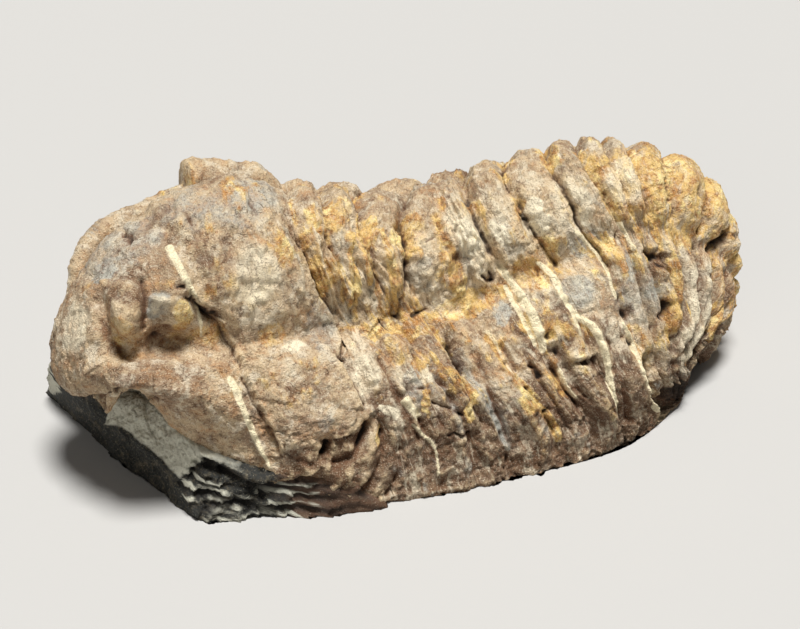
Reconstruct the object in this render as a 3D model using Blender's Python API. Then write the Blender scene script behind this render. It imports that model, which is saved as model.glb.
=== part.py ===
"""Neseuretus trilobite fossil, its tail curled under, lying on its own matrix.

The stone is one solid. The animal's back runs along X with the head at -X, and
the body is rolled a little, so the side at -Y lies lower than the side at +Y.
A station says how far along the body a section is: 0 under the snout, 6 at the
back edge of the head, about one for each of the 13 segments of the thorax,
and 19 to 25 around the tail. A share says how far across the back a point is:
-1 at the foot of the near side, 0 on the crest, 1 at the foot of the far side.
The grooves between the segments run slantwise over the stations, so the mesh's
rows are counted by grooves: row count 7 follows groove 7 from foot to foot.
"""
import bpy
import bmesh
import numpy as np

MM = 0.001
OBJECT_NAME = "trilobite_fossil"
COLLECTION_NAME = "neseuretus_trilobite"

# Counts of the body's divisions, which are also their rough stations
HEAD_END = 6
TAIL_START = 19
TAIL_END = 25

# Middle of the finished stone over the ground, in millimetres, put at the origin
CENTRE = (0.9, 0.45)

# Pivot of each section: where its foot line lies, and how it leans, as
# (station, millimetres) or (station, degrees from upright towards the tail)
PIVOT_X = ((0, -31), (1.5, -29), (3, -27), (4.5, -20), (6, -11.5), (12, 13), (15, 22.5), (18, 26.5), (25, 31))
PIVOT_Z = ((0, 13.5), (1.5, 12.5), (3, 7), (4.5, 3.5), (6, 1), (15, 1), (18, 3.5), (21, 7.5), (25, 7.5))
LEAN = ((0, -100), (1.5, -38), (3, -3), (6, -3), (12, 1), (15, 5), (18, 27), (21, 76), (25, 148))

# Heights over the pivot, from the near foot to the far foot
NEAR_FOOT_UP = ((0, 1.5), (1.5, 1), (2.6, 1.2), (3.3, 1.5), (4.5, 1.2), (6, 0), (15, 0.5), (18, 1), (21, 2),
                (25, 3))
NEAR_BEND_UP = ((0, 5), (3, 9), (4.5, 8), (6, 10.5), (9, 9.5), (15, 7), (18, 5), (21, 7), (25, 8))
NEAR_FURROW_UP = ((0, 5.5), (1.5, 9.5), (4.5, 15), (9, 17), (12, 20), (15, 20.5), (18, 16), (21, 11.5),
                  (25, 9))
CREST_UP = ((0, 8.5), (1.5, 12.5), (3, 22.5), (4.5, 27.5), (6, 28), (9, 25.5), (12, 27.7), (15, 27.1),
            (18, 22), (21, 12.5), (25, 10.5))
FAR_FURROW_UP = ((0, 5), (1.5, 7), (3, 13), (4.5, 20), (6, 22.3), (9, 21.2), (12, 23), (15, 23.2), (18, 18),
                 (25, 7))
FAR_BEND_UP = ((0, 4), (1.5, 7.5), (3, 14.5), (4.5, 20), (6, 20.4), (9, 19.2), (12, 19.5), (15, 19),
               (18, 13.5), (25, 5))
FAR_FOOT_UP = ((0, 1.5), (3, 0), (15, 0), (18, 1), (25, 3))

# Distances from the middle plane, in the same order
NEAR_FOOT_OUT = ((0, 4), (1.5, 4.5), (2.6, 8), (3.3, 11.5), (4.5, 16), (6, 18.5), (9, 19), (12, 18),
                 (15, 13.5), (21, 10.5), (25, 8))
NEAR_BEND_OUT = ((0, 8), (1.5, 11), (4.5, 14), (9, 15.5), (12, 16.5), (15, 14), (18, 11.5), (21, 9), (25, 6))
NEAR_FURROW_OUT = ((0, 5), (3, 8.5), (4.5, 8.5), (6, 7.5), (12, 7), (18, 5.5), (25, 3))
FAR_FURROW_OUT = ((0, 5), (1.5, 8), (6, 9), (15, 8), (25, 4))
FAR_BEND_OUT = ((0, 7), (1.5, 10.5), (3, 14), (9, 15.5), (15, 14), (21, 9), (25, 6))
FAR_FOOT_OUT = ((0, 9.5), (1.5, 13), (4.5, 19), (9, 20), (15, 18), (21, 11), (25, 8))
CREST_OUT = 0.5

# How far the near furrow, the near foot and the far side are swept back behind the crest
FURROW_SWEEP = ((0, 0), (1.5, -1.5), (4.5, 0), (6, 2.5), (12, 4.5), (15, 3.5), (18, 1.5), (25, 0))
FOOT_SWEEP = ((0, 0), (1.5, -2), (4.5, 1.5), (6, 3.5), (12, 6.5), (18, 4), (25, 0))
FAR_SWEEP = ((0, 0), (4.5, 0), (6, 2), (9, 6), (12, 5.5), (15, 3), (18, 0), (25, 0))

# Shares at which the section's key points lie
FURROW_SHARE = 0.33
BEND_SHARE = 0.68
KEY_SHARES = (-1, -0.84, -BEND_SHARE, -0.5, -FURROW_SHARE, -0.17, 0,
              0.17, FURROW_SHARE, 0.5, BEND_SHARE, 0.84, 1)

# Station at which each groove crosses the shares in the first row, from the groove behind the head
# to the one in front of the tail
GROOVE_SHARES = (-1, -0.8, -0.55, -0.33, -0.17, 0, 0.2, 1)
GROOVES = (
    (6.1, 6.1, 5.95, 6.05, 5.9, 6.0, 6.2, 6.2),
    (7.0, 7.0, 6.8, 6.6, 6.55, 6.9, 6.95, 6.95),
    (7.9, 7.9, 7.5, 7.3, 7.3, 7.75, 7.9, 7.9),
    (8.8, 8.7, 8.2, 7.9, 8.2, 8.8, 9.25, 9.3),
    (10.2, 10.1, 9.25, 9.0, 9.6, 9.9, 10.0, 10.0),
    (11.3, 11.2, 10.3, 10.2, 10.3, 10.55, 10.7, 10.7),
    (12.4, 12.25, 11.8, 11.45, 11.55, 11.7, 12.0, 12.0),
    (13.7, 13.6, 13.1, 12.8, 12.95, 13.1, 13.3, 13.3),
    (14.5, 14.4, 14.1, 13.9, 14.1, 14.15, 14.45, 14.4),
    (15.1, 15.0, 14.8, 14.5, 14.85, 15.05, 15.2, 15.2),
    (15.7, 15.6, 15.6, 15.1, 15.45, 15.75, 15.9, 16.0),
    (16.3, 16.2, 16.5, 16.2, 16.6, 16.9, 17.4, 17.3),
    (17.2, 17.1, 17.6, 17.7, 18.1, 18.25, 18.6, 18.4),
    (18.6, 18.6, 18.8, 18.7, 19.1, 19.3, 19.6, 19.5),
)

# Relief of the back, in millimetres
RING_HEIGHT = 1.4
NEAR_RIB_HEIGHT = 0.9
FAR_RIB_HEIGHT = 1.5
TAIL_RELIEF = 0.75
FURROW_DEPTH = 0.8
BAND_HEIGHT = 1.0

# Where the broken front edge of the raised rear band of the head runs: (share, station)
BAND_EDGE = ((-1, 4.7), (-0.7, 4.4), (-0.5, 4.2), (-0.32, 4.1), (-0.24, 3.7), (-0.16, 3.4), (0, 3.0))

# Lumps and hollows of the head: station, share, height, half length in stations, half width in share
HEAD_LUMPS = (
    (2.35, -0.23, 1.3, 0.30, 0.08),
    (3.15, -0.22, 1.0, 0.26, 0.07),
    (2.78, -0.26, -1.0, 0.17, 0.08),
    (3.05, -0.32, -1.2, 0.40, 0.045),
    (1.95, -0.22, -1.2, 0.18, 0.10),
    (2.6, 0.40, -1.2, 0.9, 0.10),
    (2.4, 0.66, 1.8, 1.6, 0.10),
    (1.0, -0.36, 1.2, 0.4, 0.08),
    (0.7, -0.60, -1.5, 0.4, 0.08),
)

# Raised block on the far cheek: first and last station, first and last share, height
FAR_BLOCK = (4.3, 6.1, 0.48, 0.84, 2.6)

# Corners of the broken chunk of matrix under the head, in millimetres
CHUNK_CORNERS = (
    (-38, 15, 0), (-36, 9.5, 0), (-34.3, 4.5, 0), (-33, -3, 0), (-30, -9, 0), (-27.7, -14.8, 0),
    (-21, -16.8, 0), (-14, -19, 0), (-8, -19.4, 0), (-6, -14, 0), (-8, 14, 0), (-28, 18, 0), (-38, 12, 6.5),
    (-37, 8, 7.5), (-34.5, 0.5, 5), (-33.6, -0.5, 9), (-32.2, -2.8, 6), (-30, -7.7, 4.6), (-28.8, -10.7, 3.5),
    (-30.2, -3.8, 10), (-29, -7.8, 9), (-26.8, -12.8, 7.5), (-21.5, -16, 5), (-12, -18, 4), (-14, 14, 10),
    (-28, 15, 11),
)

# Grid: sections on the head, on each segment and on the tail, and points around
HEAD_SECTIONS = 32
SECTIONS_PER_SEGMENT = (0.0, 0.14, 0.38, 0.62, 0.86)
TAIL_SECTIONS = 20
BACK_SHARES = (*np.linspace(-1, -0.4, 10), *np.linspace(-0.35, 0.35, 19), *np.linspace(0.4, 1, 8))
BASE_POINTS = 4
BASE_SAG = 1.8
GROUND_CUT = 0.7


def along(pairs, station):
    """Smooth curve through (station, value) pairs, read at an array of stations."""
    knots, values = np.array(pairs, float).T
    steps = np.diff(knots)
    slopes = np.diff(values) / steps
    tangents = np.concatenate((slopes[:1], slopes, slopes[-1:]))
    tangents = (tangents[:-1] + tangents[1:]) / 2
    i = np.clip(np.searchsorted(knots, station, side="right") - 1, 0, len(steps) - 1)
    t = np.clip((station - knots[i]) / steps[i], 0, 1)
    return (values[i] * (1 + 2 * t) * (1 - t) ** 2 + values[i + 1] * t * t * (3 - 2 * t)
            + steps[i] * (tangents[i] * t * (1 - t) ** 2 + tangents[i + 1] * t * t * (t - 1)))


def across(keys, share):
    """Smooth curve through a section's key values, one array for each key share."""
    knots = np.array(KEY_SHARES, float)
    values = np.stack(np.broadcast_arrays(*keys))
    tangents = np.gradient(values, knots, axis=0)
    i = np.clip(np.searchsorted(knots, share, side="right") - 1, 0, len(knots) - 2)
    step = knots[i + 1] - knots[i]
    t = (share - knots[i]) / step
    low, high, rise, rise_high = (np.take_along_axis(table, index[None], 0)[0] for table, index in
                                  ((values, i), (values, i + 1), (tangents, i), (tangents, i + 1)))
    return (low * (1 + 2 * t) * (1 - t) ** 2 + high * t * t * (3 - 2 * t)
            + step * (rise * t * (1 - t) ** 2 + rise_high * t * t * (t - 1)))


def mix(a, b, part):
    return a + (b - a) * part


def place(station, out, up, sweep):
    """Point of a section: out sideways, up along its lean, swept back across it."""
    lean = np.radians(along(LEAN, station))
    x = along(PIVOT_X, station) + up * np.sin(lean) + sweep * np.cos(lean)
    z = along(PIVOT_Z, station) + up * np.cos(lean) - sweep * np.sin(lean)
    return np.stack((x, out, z), axis=-1)


def back_surface(station, share):
    """Back of the animal without its relief, from the near foot over the crest to the far foot."""
    near_foot, near_bend, near_furrow, crest, far_furrow, far_bend, far_foot = (
        along(pairs, station) for pairs in (NEAR_FOOT_UP, NEAR_BEND_UP, NEAR_FURROW_UP, CREST_UP,
                                            FAR_FURROW_UP, FAR_BEND_UP, FAR_FOOT_UP))
    up = across((near_foot, mix(near_foot, near_bend, 0.5), near_bend, mix(near_bend, near_furrow, 0.58),
                 near_furrow, mix(crest, near_furrow, 0.3), crest, mix(crest, far_furrow, 0.25),
                 far_furrow, mix(far_furrow, far_bend, 0.45), far_bend, mix(far_foot, far_bend, 0.5),
                 far_foot), share)
    near_foot, near_bend, near_furrow, far_furrow, far_bend, far_foot = (
        along(pairs, station) for pairs in (NEAR_FOOT_OUT, NEAR_BEND_OUT, NEAR_FURROW_OUT,
                                            FAR_FURROW_OUT, FAR_BEND_OUT, FAR_FOOT_OUT))
    out = across((-near_foot, -mix(near_foot, near_bend, 0.45), -near_bend,
                  -mix(near_furrow, near_bend, 0.5), -near_furrow, -0.62 * near_furrow, CREST_OUT,
                  0.62 * far_furrow, far_furrow, mix(far_furrow, far_bend, 0.5), far_bend,
                  mix(far_bend, far_foot, 0.6), far_foot), share)
    reach = np.abs(share)
    to_furrow = np.clip(reach / FURROW_SHARE, 0, 1) ** 1.6
    to_foot = np.clip((reach - FURROW_SHARE) / (1 - FURROW_SHARE), 0, 1)
    near_sweep = mix(along(FURROW_SWEEP, station) * to_furrow, along(FOOT_SWEEP, station), to_foot)
    far_sweep = along(FAR_SWEEP, station) * np.clip(reach / BEND_SHARE, 0, 1) ** 1.6
    sweep = np.where(share < 0, near_sweep, far_sweep)
    return place(station, out, up, sweep)


def base_surface(station, part):
    """Underside of a section, from the far foot (0) to the near foot (1), sagging a little."""
    far_out, near_out = along(FAR_FOOT_OUT, station), -along(NEAR_FOOT_OUT, station)
    far_up, near_up = along(FAR_FOOT_UP, station), along(NEAR_FOOT_UP, station)
    on_ground = fade(station, HEAD_END - 2, HEAD_END) * (1 - fade(station, 14, 16))
    sag = BASE_SAG * on_ground * np.sin(np.pi * part) * (0.75 + 0.25 * np.sin(1.7 * station))
    return place(station, mix(far_out, near_out, part), mix(far_up, near_up, part) - sag, 0 * part)


def fade(value, start, end):
    """0 before start, 1 after end, smooth in between."""
    t = np.clip((value - start) / (end - start), 0, 1)
    return t * t * (3 - 2 * t)


def bump(value, middle, half_width):
    return np.exp(-((value - middle) / half_width) ** 2)


def station_of(count, share):
    """Station of each row count at each share: straight sections at both ends, grooves between them."""
    counts = np.array((0, *range(HEAD_END, TAIL_START + 1), TAIL_END), float)
    courses = [along(tuple(zip(GROOVE_SHARES, groove)), share) for groove in GROOVES]
    courses = np.stack((0 * share, *courses, 0 * share + TAIL_END))
    i = np.clip(np.searchsorted(counts, count, side="right") - 1, 0, len(counts) - 2)
    before, after = (np.take_along_axis(courses, index[None], 0)[0] for index in (i, i + 1))
    return mix(before, after, (count - counts[i]) / (counts[i + 1] - counts[i]))


def segment_relief(count, share):
    """Rings on the axis and ribs on both flanks, one to a count, with a groove in front of each."""
    part = np.mod(count, 1.0)
    ridge = fade(part, 0.02, 0.3) * (1 - fade(part, 0.8, 0.99))
    worn_groove = bump(count, 10, 0.35) * fade(share, -0.05, 0.1)
    ridge = mix(ridge, 1, worn_groove)
    reach = np.abs(share)
    on_axis = 1 - fade(reach, FURROW_SHARE - 0.06, FURROW_SHARE)
    on_rib = fade(reach, FURROW_SHARE, FURROW_SHARE + 0.06) * (1 - 0.7 * fade(reach, 0.72, 1.0))
    rib_height = np.where(share < 0, NEAR_RIB_HEIGHT, FAR_RIB_HEIGHT)
    size = mix(1.0, TAIL_RELIEF, fade(count, TAIL_START - 1, TAIL_START + 1))
    here = (count >= HEAD_END) * (1 - fade(count, TAIL_END - 1.5, TAIL_END))
    return here * size * (ridge - 0.7) * (RING_HEIGHT * on_axis + rib_height * on_rib)


def furrow_relief(count, share):
    """Grooves that part the axis from the flanks."""
    here = fade(count, 1, 2.5) * (1 - fade(count, TAIL_END - 3, TAIL_END))
    return -FURROW_DEPTH * here * bump(np.abs(share), FURROW_SHARE, 0.045)


def head_relief(count, station, share):
    """Raised rear band with its broken front edge, the side lobes, the rim and the far block."""
    edge = along(BAND_EDGE, np.minimum(share, 0))
    band = fade(station, edge, edge + 0.4) * (1 - fade(count, HEAD_END - 0.3, HEAD_END))
    height = BAND_HEIGHT * band * (1 - fade(share, 0.1, 0.35))
    for middle, side, size, half_length, half_width in HEAD_LUMPS:
        height = height + size * bump(station, middle, half_length) * bump(share, side, half_width)
    first, last, low, high, size = FAR_BLOCK
    block = fade(station, first, first + 0.15) * (1 - fade(station, last - 0.3, last))
    block = block * fade(share, low, low + 0.12) * (1 - fade(share, high - 0.12, high))
    return height + size * block


def back_relief(count, station, share):
    return (segment_relief(count, share) + furrow_relief(count, share)
            + head_relief(count, station, share)) * (1 - fade(np.abs(share), 0.9, 1))


def grid_normals(points):
    """Outward unit normals of a grid of points, sections by positions across."""
    normals = np.cross(np.gradient(points, axis=0), np.gradient(points, axis=1))
    return normals / np.linalg.norm(normals, axis=-1, keepdims=True)


def row_counts():
    head = np.linspace(0, HEAD_END, HEAD_SECTIONS, endpoint=False)
    thorax = [segment + part for segment in range(HEAD_END, TAIL_START) for part in SECTIONS_PER_SEGMENT]
    tail = np.linspace(TAIL_START, TAIL_END, TAIL_SECTIONS)
    return np.concatenate((head, thorax, tail))


def body_mesh():
    """Loft through the sections, closed at both ends by a fan to a middle point."""
    counts = row_counts()
    count, share = np.meshgrid(counts, BACK_SHARES, indexing="ij")
    station = station_of(count, share)
    back = back_surface(station, share)
    back = back + grid_normals(back) * back_relief(count, station, share)[..., None]
    parts = np.linspace(0, 1, BASE_POINTS + 2)[1:-1]
    part = np.broadcast_to(parts, (len(counts), BASE_POINTS))
    base = base_surface(mix(station[:, -1:], station[:, :1], part), part)
    rings = np.concatenate((back, base), axis=1)
    rows, columns = rings.shape[:2]
    ends = rings[[0, -1]].mean(axis=1)
    vertices = np.concatenate((rings.reshape(-1, 3), ends))
    first_end, last_end = rows * columns, rows * columns + 1
    faces = []
    for row in range(rows - 1):
        for column in range(columns):
            corner, beside = row * columns + column, row * columns + (column + 1) % columns
            faces.append((corner, corner + columns, beside + columns, beside))
    for column in range(columns):
        beside = (column + 1) % columns
        faces.append((first_end, column, beside))
        faces.append((last_end, (rows - 1) * columns + beside, (rows - 1) * columns + column))
    mesh = bpy.data.meshes.new(OBJECT_NAME)
    vertices = centred(vertices) - (0, 0, GROUND_CUT)
    mesh.from_pydata((vertices * MM).tolist(), [], faces)
    return mesh


def centred(points):
    return np.asarray(points, float) - (*CENTRE, 0)


def chunk_mesh():
    """Convex chunk with flat broken faces through its corners."""
    shape = bmesh.new()
    for corner in (centred(CHUNK_CORNERS) - (0, 0, GROUND_CUT)) * MM:
        shape.verts.new(corner)
    hull = bmesh.ops.convex_hull(shape, input=shape.verts)
    bmesh.ops.delete(shape, geom=hull["geom_interior"], context="VERTS")
    bmesh.ops.recalc_face_normals(shape, faces=shape.faces)
    mesh = bpy.data.meshes.new("matrix_chunk")
    shape.to_mesh(mesh)
    shape.free()
    return mesh


def ground_mesh():
    """Block whose top lies at the ground, which cuts the stone's flat spot."""
    shape = bmesh.new()
    bmesh.ops.create_cube(shape, size=1)
    bmesh.ops.scale(shape, vec=(200 * MM, 200 * MM, 20 * MM), verts=shape.verts)
    bmesh.ops.translate(shape, vec=(0, 0, -10 * MM), verts=shape.verts)
    mesh = bpy.data.meshes.new("ground_cut")
    shape.to_mesh(mesh)
    shape.free()
    return mesh


def stone_material():
    material = bpy.data.materials.new("fossil_stone")
    material.use_nodes = True
    shader = material.node_tree.nodes["Principled BSDF"]
    shader.inputs["Base Color"].default_value = (0.33, 0.22, 0.13, 1)
    shader.inputs["Roughness"].default_value = 0.85
    shader.inputs["Metallic"].default_value = 0
    material.diffuse_color = (0.33, 0.22, 0.13, 1)
    return material


def add_object(name, mesh, collection):
    item = bpy.data.objects.new(name, mesh)
    collection.objects.link(item)
    return item


def add_boolean(stone, tool, operation):
    tool.hide_render = True
    tool.display_type = "WIRE"
    modifier = stone.modifiers.new(tool.name, "BOOLEAN")
    modifier.operation = operation
    modifier.solver = "EXACT"
    modifier.object = tool


def main():
    for item in list(bpy.data.objects):
        bpy.data.objects.remove(item, do_unlink=True)
    parts = bpy.data.collections.new(COLLECTION_NAME)
    tools = bpy.data.collections.new("cutters")
    for collection in (parts, tools):
        bpy.context.scene.collection.children.link(collection)
    stone = add_object(OBJECT_NAME, body_mesh(), parts)
    stone.data.materials.append(stone_material())
    stone.data.shade_smooth()
    stone.data.set_sharp_from_angle(angle=np.radians(50))
    add_boolean(stone, add_object("matrix_chunk", chunk_mesh(), tools), "UNION")
    add_boolean(stone, add_object("ground_cut", ground_mesh(), tools), "DIFFERENCE")


main()
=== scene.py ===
# %% [markdown]
# # A neseuretus trilobite in stone
#
# The real object is one stone: a trilobite whose tail is curled under it, still fixed to a broken
# piece of the mudstone that it was buried in. The construction script gives its solid form. This
# lesson gives it its skin: rings, ribs, broken edges, veins, stains and grain. It could be sculpted by
# hand or shaped by modifiers. Here numpy works out every point, because each mark then has a place
# and a size in numbers, which can be read, measured and changed.

# %% Load the frame
import time
import bpy
import numpy as np
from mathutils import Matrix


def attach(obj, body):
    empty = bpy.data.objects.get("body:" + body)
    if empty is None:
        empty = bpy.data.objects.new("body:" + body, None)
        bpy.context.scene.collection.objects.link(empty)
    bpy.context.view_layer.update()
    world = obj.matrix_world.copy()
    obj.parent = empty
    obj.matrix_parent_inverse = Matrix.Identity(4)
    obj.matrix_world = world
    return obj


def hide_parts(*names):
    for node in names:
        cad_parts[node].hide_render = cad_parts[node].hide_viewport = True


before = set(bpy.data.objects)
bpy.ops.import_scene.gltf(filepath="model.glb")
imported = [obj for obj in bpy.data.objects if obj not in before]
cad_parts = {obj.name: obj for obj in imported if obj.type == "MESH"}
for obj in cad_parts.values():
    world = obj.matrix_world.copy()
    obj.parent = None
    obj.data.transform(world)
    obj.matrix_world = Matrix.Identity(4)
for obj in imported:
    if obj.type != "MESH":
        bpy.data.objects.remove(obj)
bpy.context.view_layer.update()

MM = 0.001
started = time.time()

# %% [markdown]
# ## The camera comes first
#
# Many marks on a natural stone follow no rule, so they are placed where the photo shows them: a
# line is given in pixels of the photo, and it lands on the surface that those pixels see. For that
# the script needs the photo's camera as numbers, before any mesh. A pinhole camera is simple enough
# to work out by hand: a point's offset from the lens, measured along the picture's right and up
# directions, divided by its depth.

# %% Photo camera
FRAME = (800, 629)
# all three in millimetres
LENS, SENSOR, DISTANCE = 120, 36, 300
AZIMUTH, ELEVATION = np.radians(-20), np.radians(33)
AIM = np.array((-0.9, -0.45, 11.3))

backward = np.array((np.sin(AZIMUTH) * np.cos(ELEVATION), -np.cos(AZIMUTH) * np.cos(ELEVATION),
                     np.sin(ELEVATION)))
rightward = np.array((np.cos(AZIMUTH), np.sin(AZIMUTH), 0))
upward = np.cross(backward, rightward)
lens_place = AIM + backward * DISTANCE
pixels_per_slope = LENS / SENSOR * FRAME[0]
PIXELS_PER_MM = pixels_per_slope / DISTANCE


def seen_at(points):
    """Pixel across and down, and depth: offsets from the lens over depth, times its scale."""
    offset = points - lens_place
    depth = -offset @ backward
    across_frame = FRAME[0] / 2 + pixels_per_slope * (offset @ rightward) / depth
    down_frame = FRAME[1] / 2 - pixels_per_slope * (offset @ upward) / depth
    return np.stack((across_frame, down_frame), axis=-1), depth


print("pixels per mm at the stone:", round(PIXELS_PER_MM, 2))

# %% [markdown]
# ## The body's plain form
#
# The body is a loft. A station says how far along the animal a section lies: 0 under the snout, 6
# at the back of the head, about one for each of the 13 segments, and 19 to 25 round the curled tail.
# A share says how far across the back a point lies: -1 at the near foot, 0 on the crest, 1 at the far
# foot. At each station a pivot lies under the back. UP is how high a key point is over the pivot,
# measured in the direction of the section's lean, OUT is how far it is to the side, and SWEEP is how
# far it is shifted along the animal. The grooves between the segments run slantwise, so the rows are
# counted by grooves: row count 7 follows groove 7 from foot to foot, whatever stations it crosses.
# The tables repeat the construction script's, so that the skin lies on the solid.

# %% Section tables, in millimetres
HEAD_END, TAIL_START, TAIL_END = 6, 19, 25
CENTRE = (0.9, 0.45)
GROUND_CUT = 0.7

PIVOT_X = ((0, -31), (1.5, -29), (3, -27), (4.5, -20), (6, -11.5), (12, 13), (15, 22.5), (18, 26.5),
           (25, 31))
PIVOT_Z = ((0, 13.5), (1.5, 12.5), (3, 7), (4.5, 3.5), (6, 1), (15, 1), (18, 3.5), (21, 7.5), (25, 7.5))
LEAN = ((0, -100), (1.5, -38), (3, -3), (6, -3), (12, 1), (15, 5), (18, 27), (21, 76), (25, 148))

NEAR_FOOT_UP = ((0, 1.5), (1.5, 1), (2.6, 1.2), (3.3, 1.5), (4.5, 1.2), (6, 0), (15, 0.5),
                (18, 1), (21, 2), (25, 3))
NEAR_BEND_UP = ((0, 5), (3, 9), (4.5, 8), (6, 10.5), (9, 9.5), (15, 7), (18, 5), (21, 7), (25, 8))
NEAR_FURROW_UP = ((0, 5.5), (1.5, 9.5), (4.5, 15), (9, 17), (12, 20), (15, 20.5), (18, 16), (21, 11.5),
                  (25, 9))
CREST_UP = ((0, 8.5), (1.5, 12.5), (3, 22.5), (4.5, 27.5), (6, 28), (9, 25.5), (12, 27.7), (15, 27.1),
            (18, 22), (21, 12.5), (25, 10.5))
FAR_FURROW_UP = ((0, 5), (1.5, 7), (3, 13), (4.5, 20), (6, 22.3), (9, 21.2), (12, 23),
                 (15, 23.2), (18, 18), (25, 7))
FAR_BEND_UP = ((0, 4), (1.5, 7.5), (3, 14.5), (4.5, 20), (6, 20.4), (9, 19.2), (12, 19.5), (15, 19),
               (18, 13.5), (25, 5))
FAR_FOOT_UP = ((0, 1.5), (3, 0), (15, 0), (18, 1), (25, 3))

NEAR_FOOT_OUT = ((0, 4), (1.5, 4.5), (2.6, 8), (3.3, 11.5), (4.5, 16), (6, 18.5), (9, 19), (12, 18),
                 (15, 13.5), (21, 10.5), (25, 8))
NEAR_BEND_OUT = ((0, 8), (1.5, 11), (4.5, 14), (9, 15.5), (12, 16.5), (15, 14), (18, 11.5), (21, 9),
                 (25, 6))
NEAR_FURROW_OUT = ((0, 5), (3, 8.5), (4.5, 8.5), (6, 7.5), (12, 7), (18, 5.5), (25, 3))
FAR_FURROW_OUT = ((0, 5), (1.5, 8), (6, 9), (15, 8), (25, 4))
FAR_BEND_OUT = ((0, 7), (1.5, 10.5), (3, 14), (9, 15.5), (15, 14), (21, 9), (25, 6))
FAR_FOOT_OUT = ((0, 9.5), (1.5, 13), (4.5, 19), (9, 20), (15, 18), (21, 11), (25, 8))
CREST_OUT = 0.5

FURROW_SWEEP = ((0, 0), (1.5, -1.5), (4.5, 0), (6, 2.5), (12, 4.5), (15, 3.5), (18, 1.5), (25, 0))
FOOT_SWEEP = ((0, 0), (1.5, -2), (4.5, 1.5), (6, 3.5), (12, 6.5), (18, 4), (25, 0))
FAR_SWEEP = ((0, 0), (4.5, 0), (6, 2), (9, 6), (12, 5.5), (15, 3), (18, 0), (25, 0))

FURROW_SHARE, BEND_SHARE = 0.33, 0.68
KEY_SHARES = (-1, -0.84, -BEND_SHARE, -0.5, -FURROW_SHARE, -0.17, 0,
              0.17, FURROW_SHARE, 0.5, BEND_SHARE, 0.84, 1)

GROOVE_SHARES = (-1, -0.8, -0.55, -0.33, -0.17, 0, 0.2, 1)
GROOVES = (
    # one groove to a row: its station at each of the shares above
    (6.1, 6.1, 5.95, 6.05, 5.9, 6.0, 6.2, 6.2),
    (7.0, 7.0, 6.8, 6.6, 6.55, 6.9, 6.95, 6.95),
    (7.9, 7.9, 7.5, 7.3, 7.3, 7.75, 7.9, 7.9),
    (8.8, 8.7, 8.2, 7.9, 8.2, 8.8, 9.25, 9.3),
    (10.2, 10.1, 9.25, 9.0, 9.6, 9.9, 10.0, 10.0),
    (11.3, 11.2, 10.3, 10.2, 10.3, 10.55, 10.7, 10.7),
    (12.4, 12.25, 11.8, 11.45, 11.55, 11.7, 12.0, 12.0),
    (13.7, 13.6, 13.1, 12.8, 12.95, 13.1, 13.3, 13.3),
    (14.5, 14.4, 14.1, 13.9, 14.1, 14.15, 14.45, 14.4),
    (15.1, 15.0, 14.8, 14.5, 14.85, 15.05, 15.2, 15.2),
    (15.7, 15.6, 15.6, 15.1, 15.45, 15.75, 15.9, 16.0),
    (16.3, 16.2, 16.5, 16.2, 16.6, 16.9, 17.4, 17.3),
    (17.2, 17.1, 17.6, 17.7, 18.1, 18.25, 18.6, 18.4),
    (18.6, 18.6, 18.8, 18.7, 19.1, 19.3, 19.6, 19.5),
)
BASE_SAG = 1.8
CURL_STARTS = (14, 16)
MIDWAY_OUT = 0.62
SWEEP_POWER = 1.6
print("grooves between the segments:", len(GROOVES))


# %% [markdown]
# The tables give a value at a few stations only. Blender's own curves could join them, but a cubic in
# numpy does a whole grid at once, and the construction script joins its tables by the same one.

# %% Curves through the tables
def fade(value, start, end):
    """0 before start, 1 after end, and the smooth cubic 3t^2 - 2t^3 in between."""
    t = np.clip((value - start) / (end - start), 0, 1)
    return t * t * (3 - 2 * t)


def bump(value, middle, half_width):
    """Bell curve: e to the minus square of the distance over the half width."""
    return np.exp(-((value - middle) / half_width) ** 2)


def mix(a, b, part):
    """Straight blend: a where part is 0, b where it is 1."""
    return a + (b - a) * part


def along(pairs, station):
    """Cubic through (station, value) pairs, its slope at a knot the mean of the two chords there."""
    knots, values = np.array(pairs, float).T
    steps = np.diff(knots)
    slopes = np.diff(values) / steps
    tangents = np.concatenate((slopes[:1], slopes, slopes[-1:]))
    tangents = (tangents[:-1] + tangents[1:]) / 2
    i = np.clip(np.searchsorted(knots, station, side="right") - 1, 0, len(steps) - 1)
    t = np.clip((station - knots[i]) / steps[i], 0, 1)
    return (values[i] * (1 + 2 * t) * (1 - t) ** 2 + values[i + 1] * t * t * (3 - 2 * t)
            + steps[i] * (tangents[i] * t * (1 - t) ** 2 + tangents[i + 1] * t * t * (t - 1)))


def across(keys, share):
    """The same kind of cubic over a section, with one array of values for each key share."""
    knots = np.array(KEY_SHARES, float)
    values = np.stack(np.broadcast_arrays(*keys))
    tangents = np.gradient(values, knots, axis=0)
    i = np.clip(np.searchsorted(knots, share, side="right") - 1, 0, len(knots) - 2)
    step = knots[i + 1] - knots[i]
    t = (share - knots[i]) / step
    low, high, rise, rise_high = (
        np.take_along_axis(table, index[None], 0)[0]
        for table, index in ((values, i), (values, i + 1), (tangents, i), (tangents, i + 1)))
    return (low * (1 + 2 * t) * (1 - t) ** 2 + high * t * t * (3 - 2 * t)
            + step * (rise * t * (1 - t) ** 2 + rise_high * t * t * (t - 1)))


def station_of(count, share):
    """Station of a row at each share: whole counts follow the grooves, others lie evenly between."""
    counts = np.array((0, *range(HEAD_END, TAIL_START + 1), TAIL_END), float)
    courses = [along(tuple(zip(GROOVE_SHARES, groove)), share) for groove in GROOVES]
    courses = np.stack((0 * share, *courses, 0 * share + TAIL_END))
    i = np.clip(np.searchsorted(counts, count, side="right") - 1, 0, len(counts) - 2)
    before, after = (np.take_along_axis(courses, index[None], 0)[0] for index in (i, i + 1))
    return mix(before, after, (count - counts[i]) / (counts[i + 1] - counts[i]))


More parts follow.
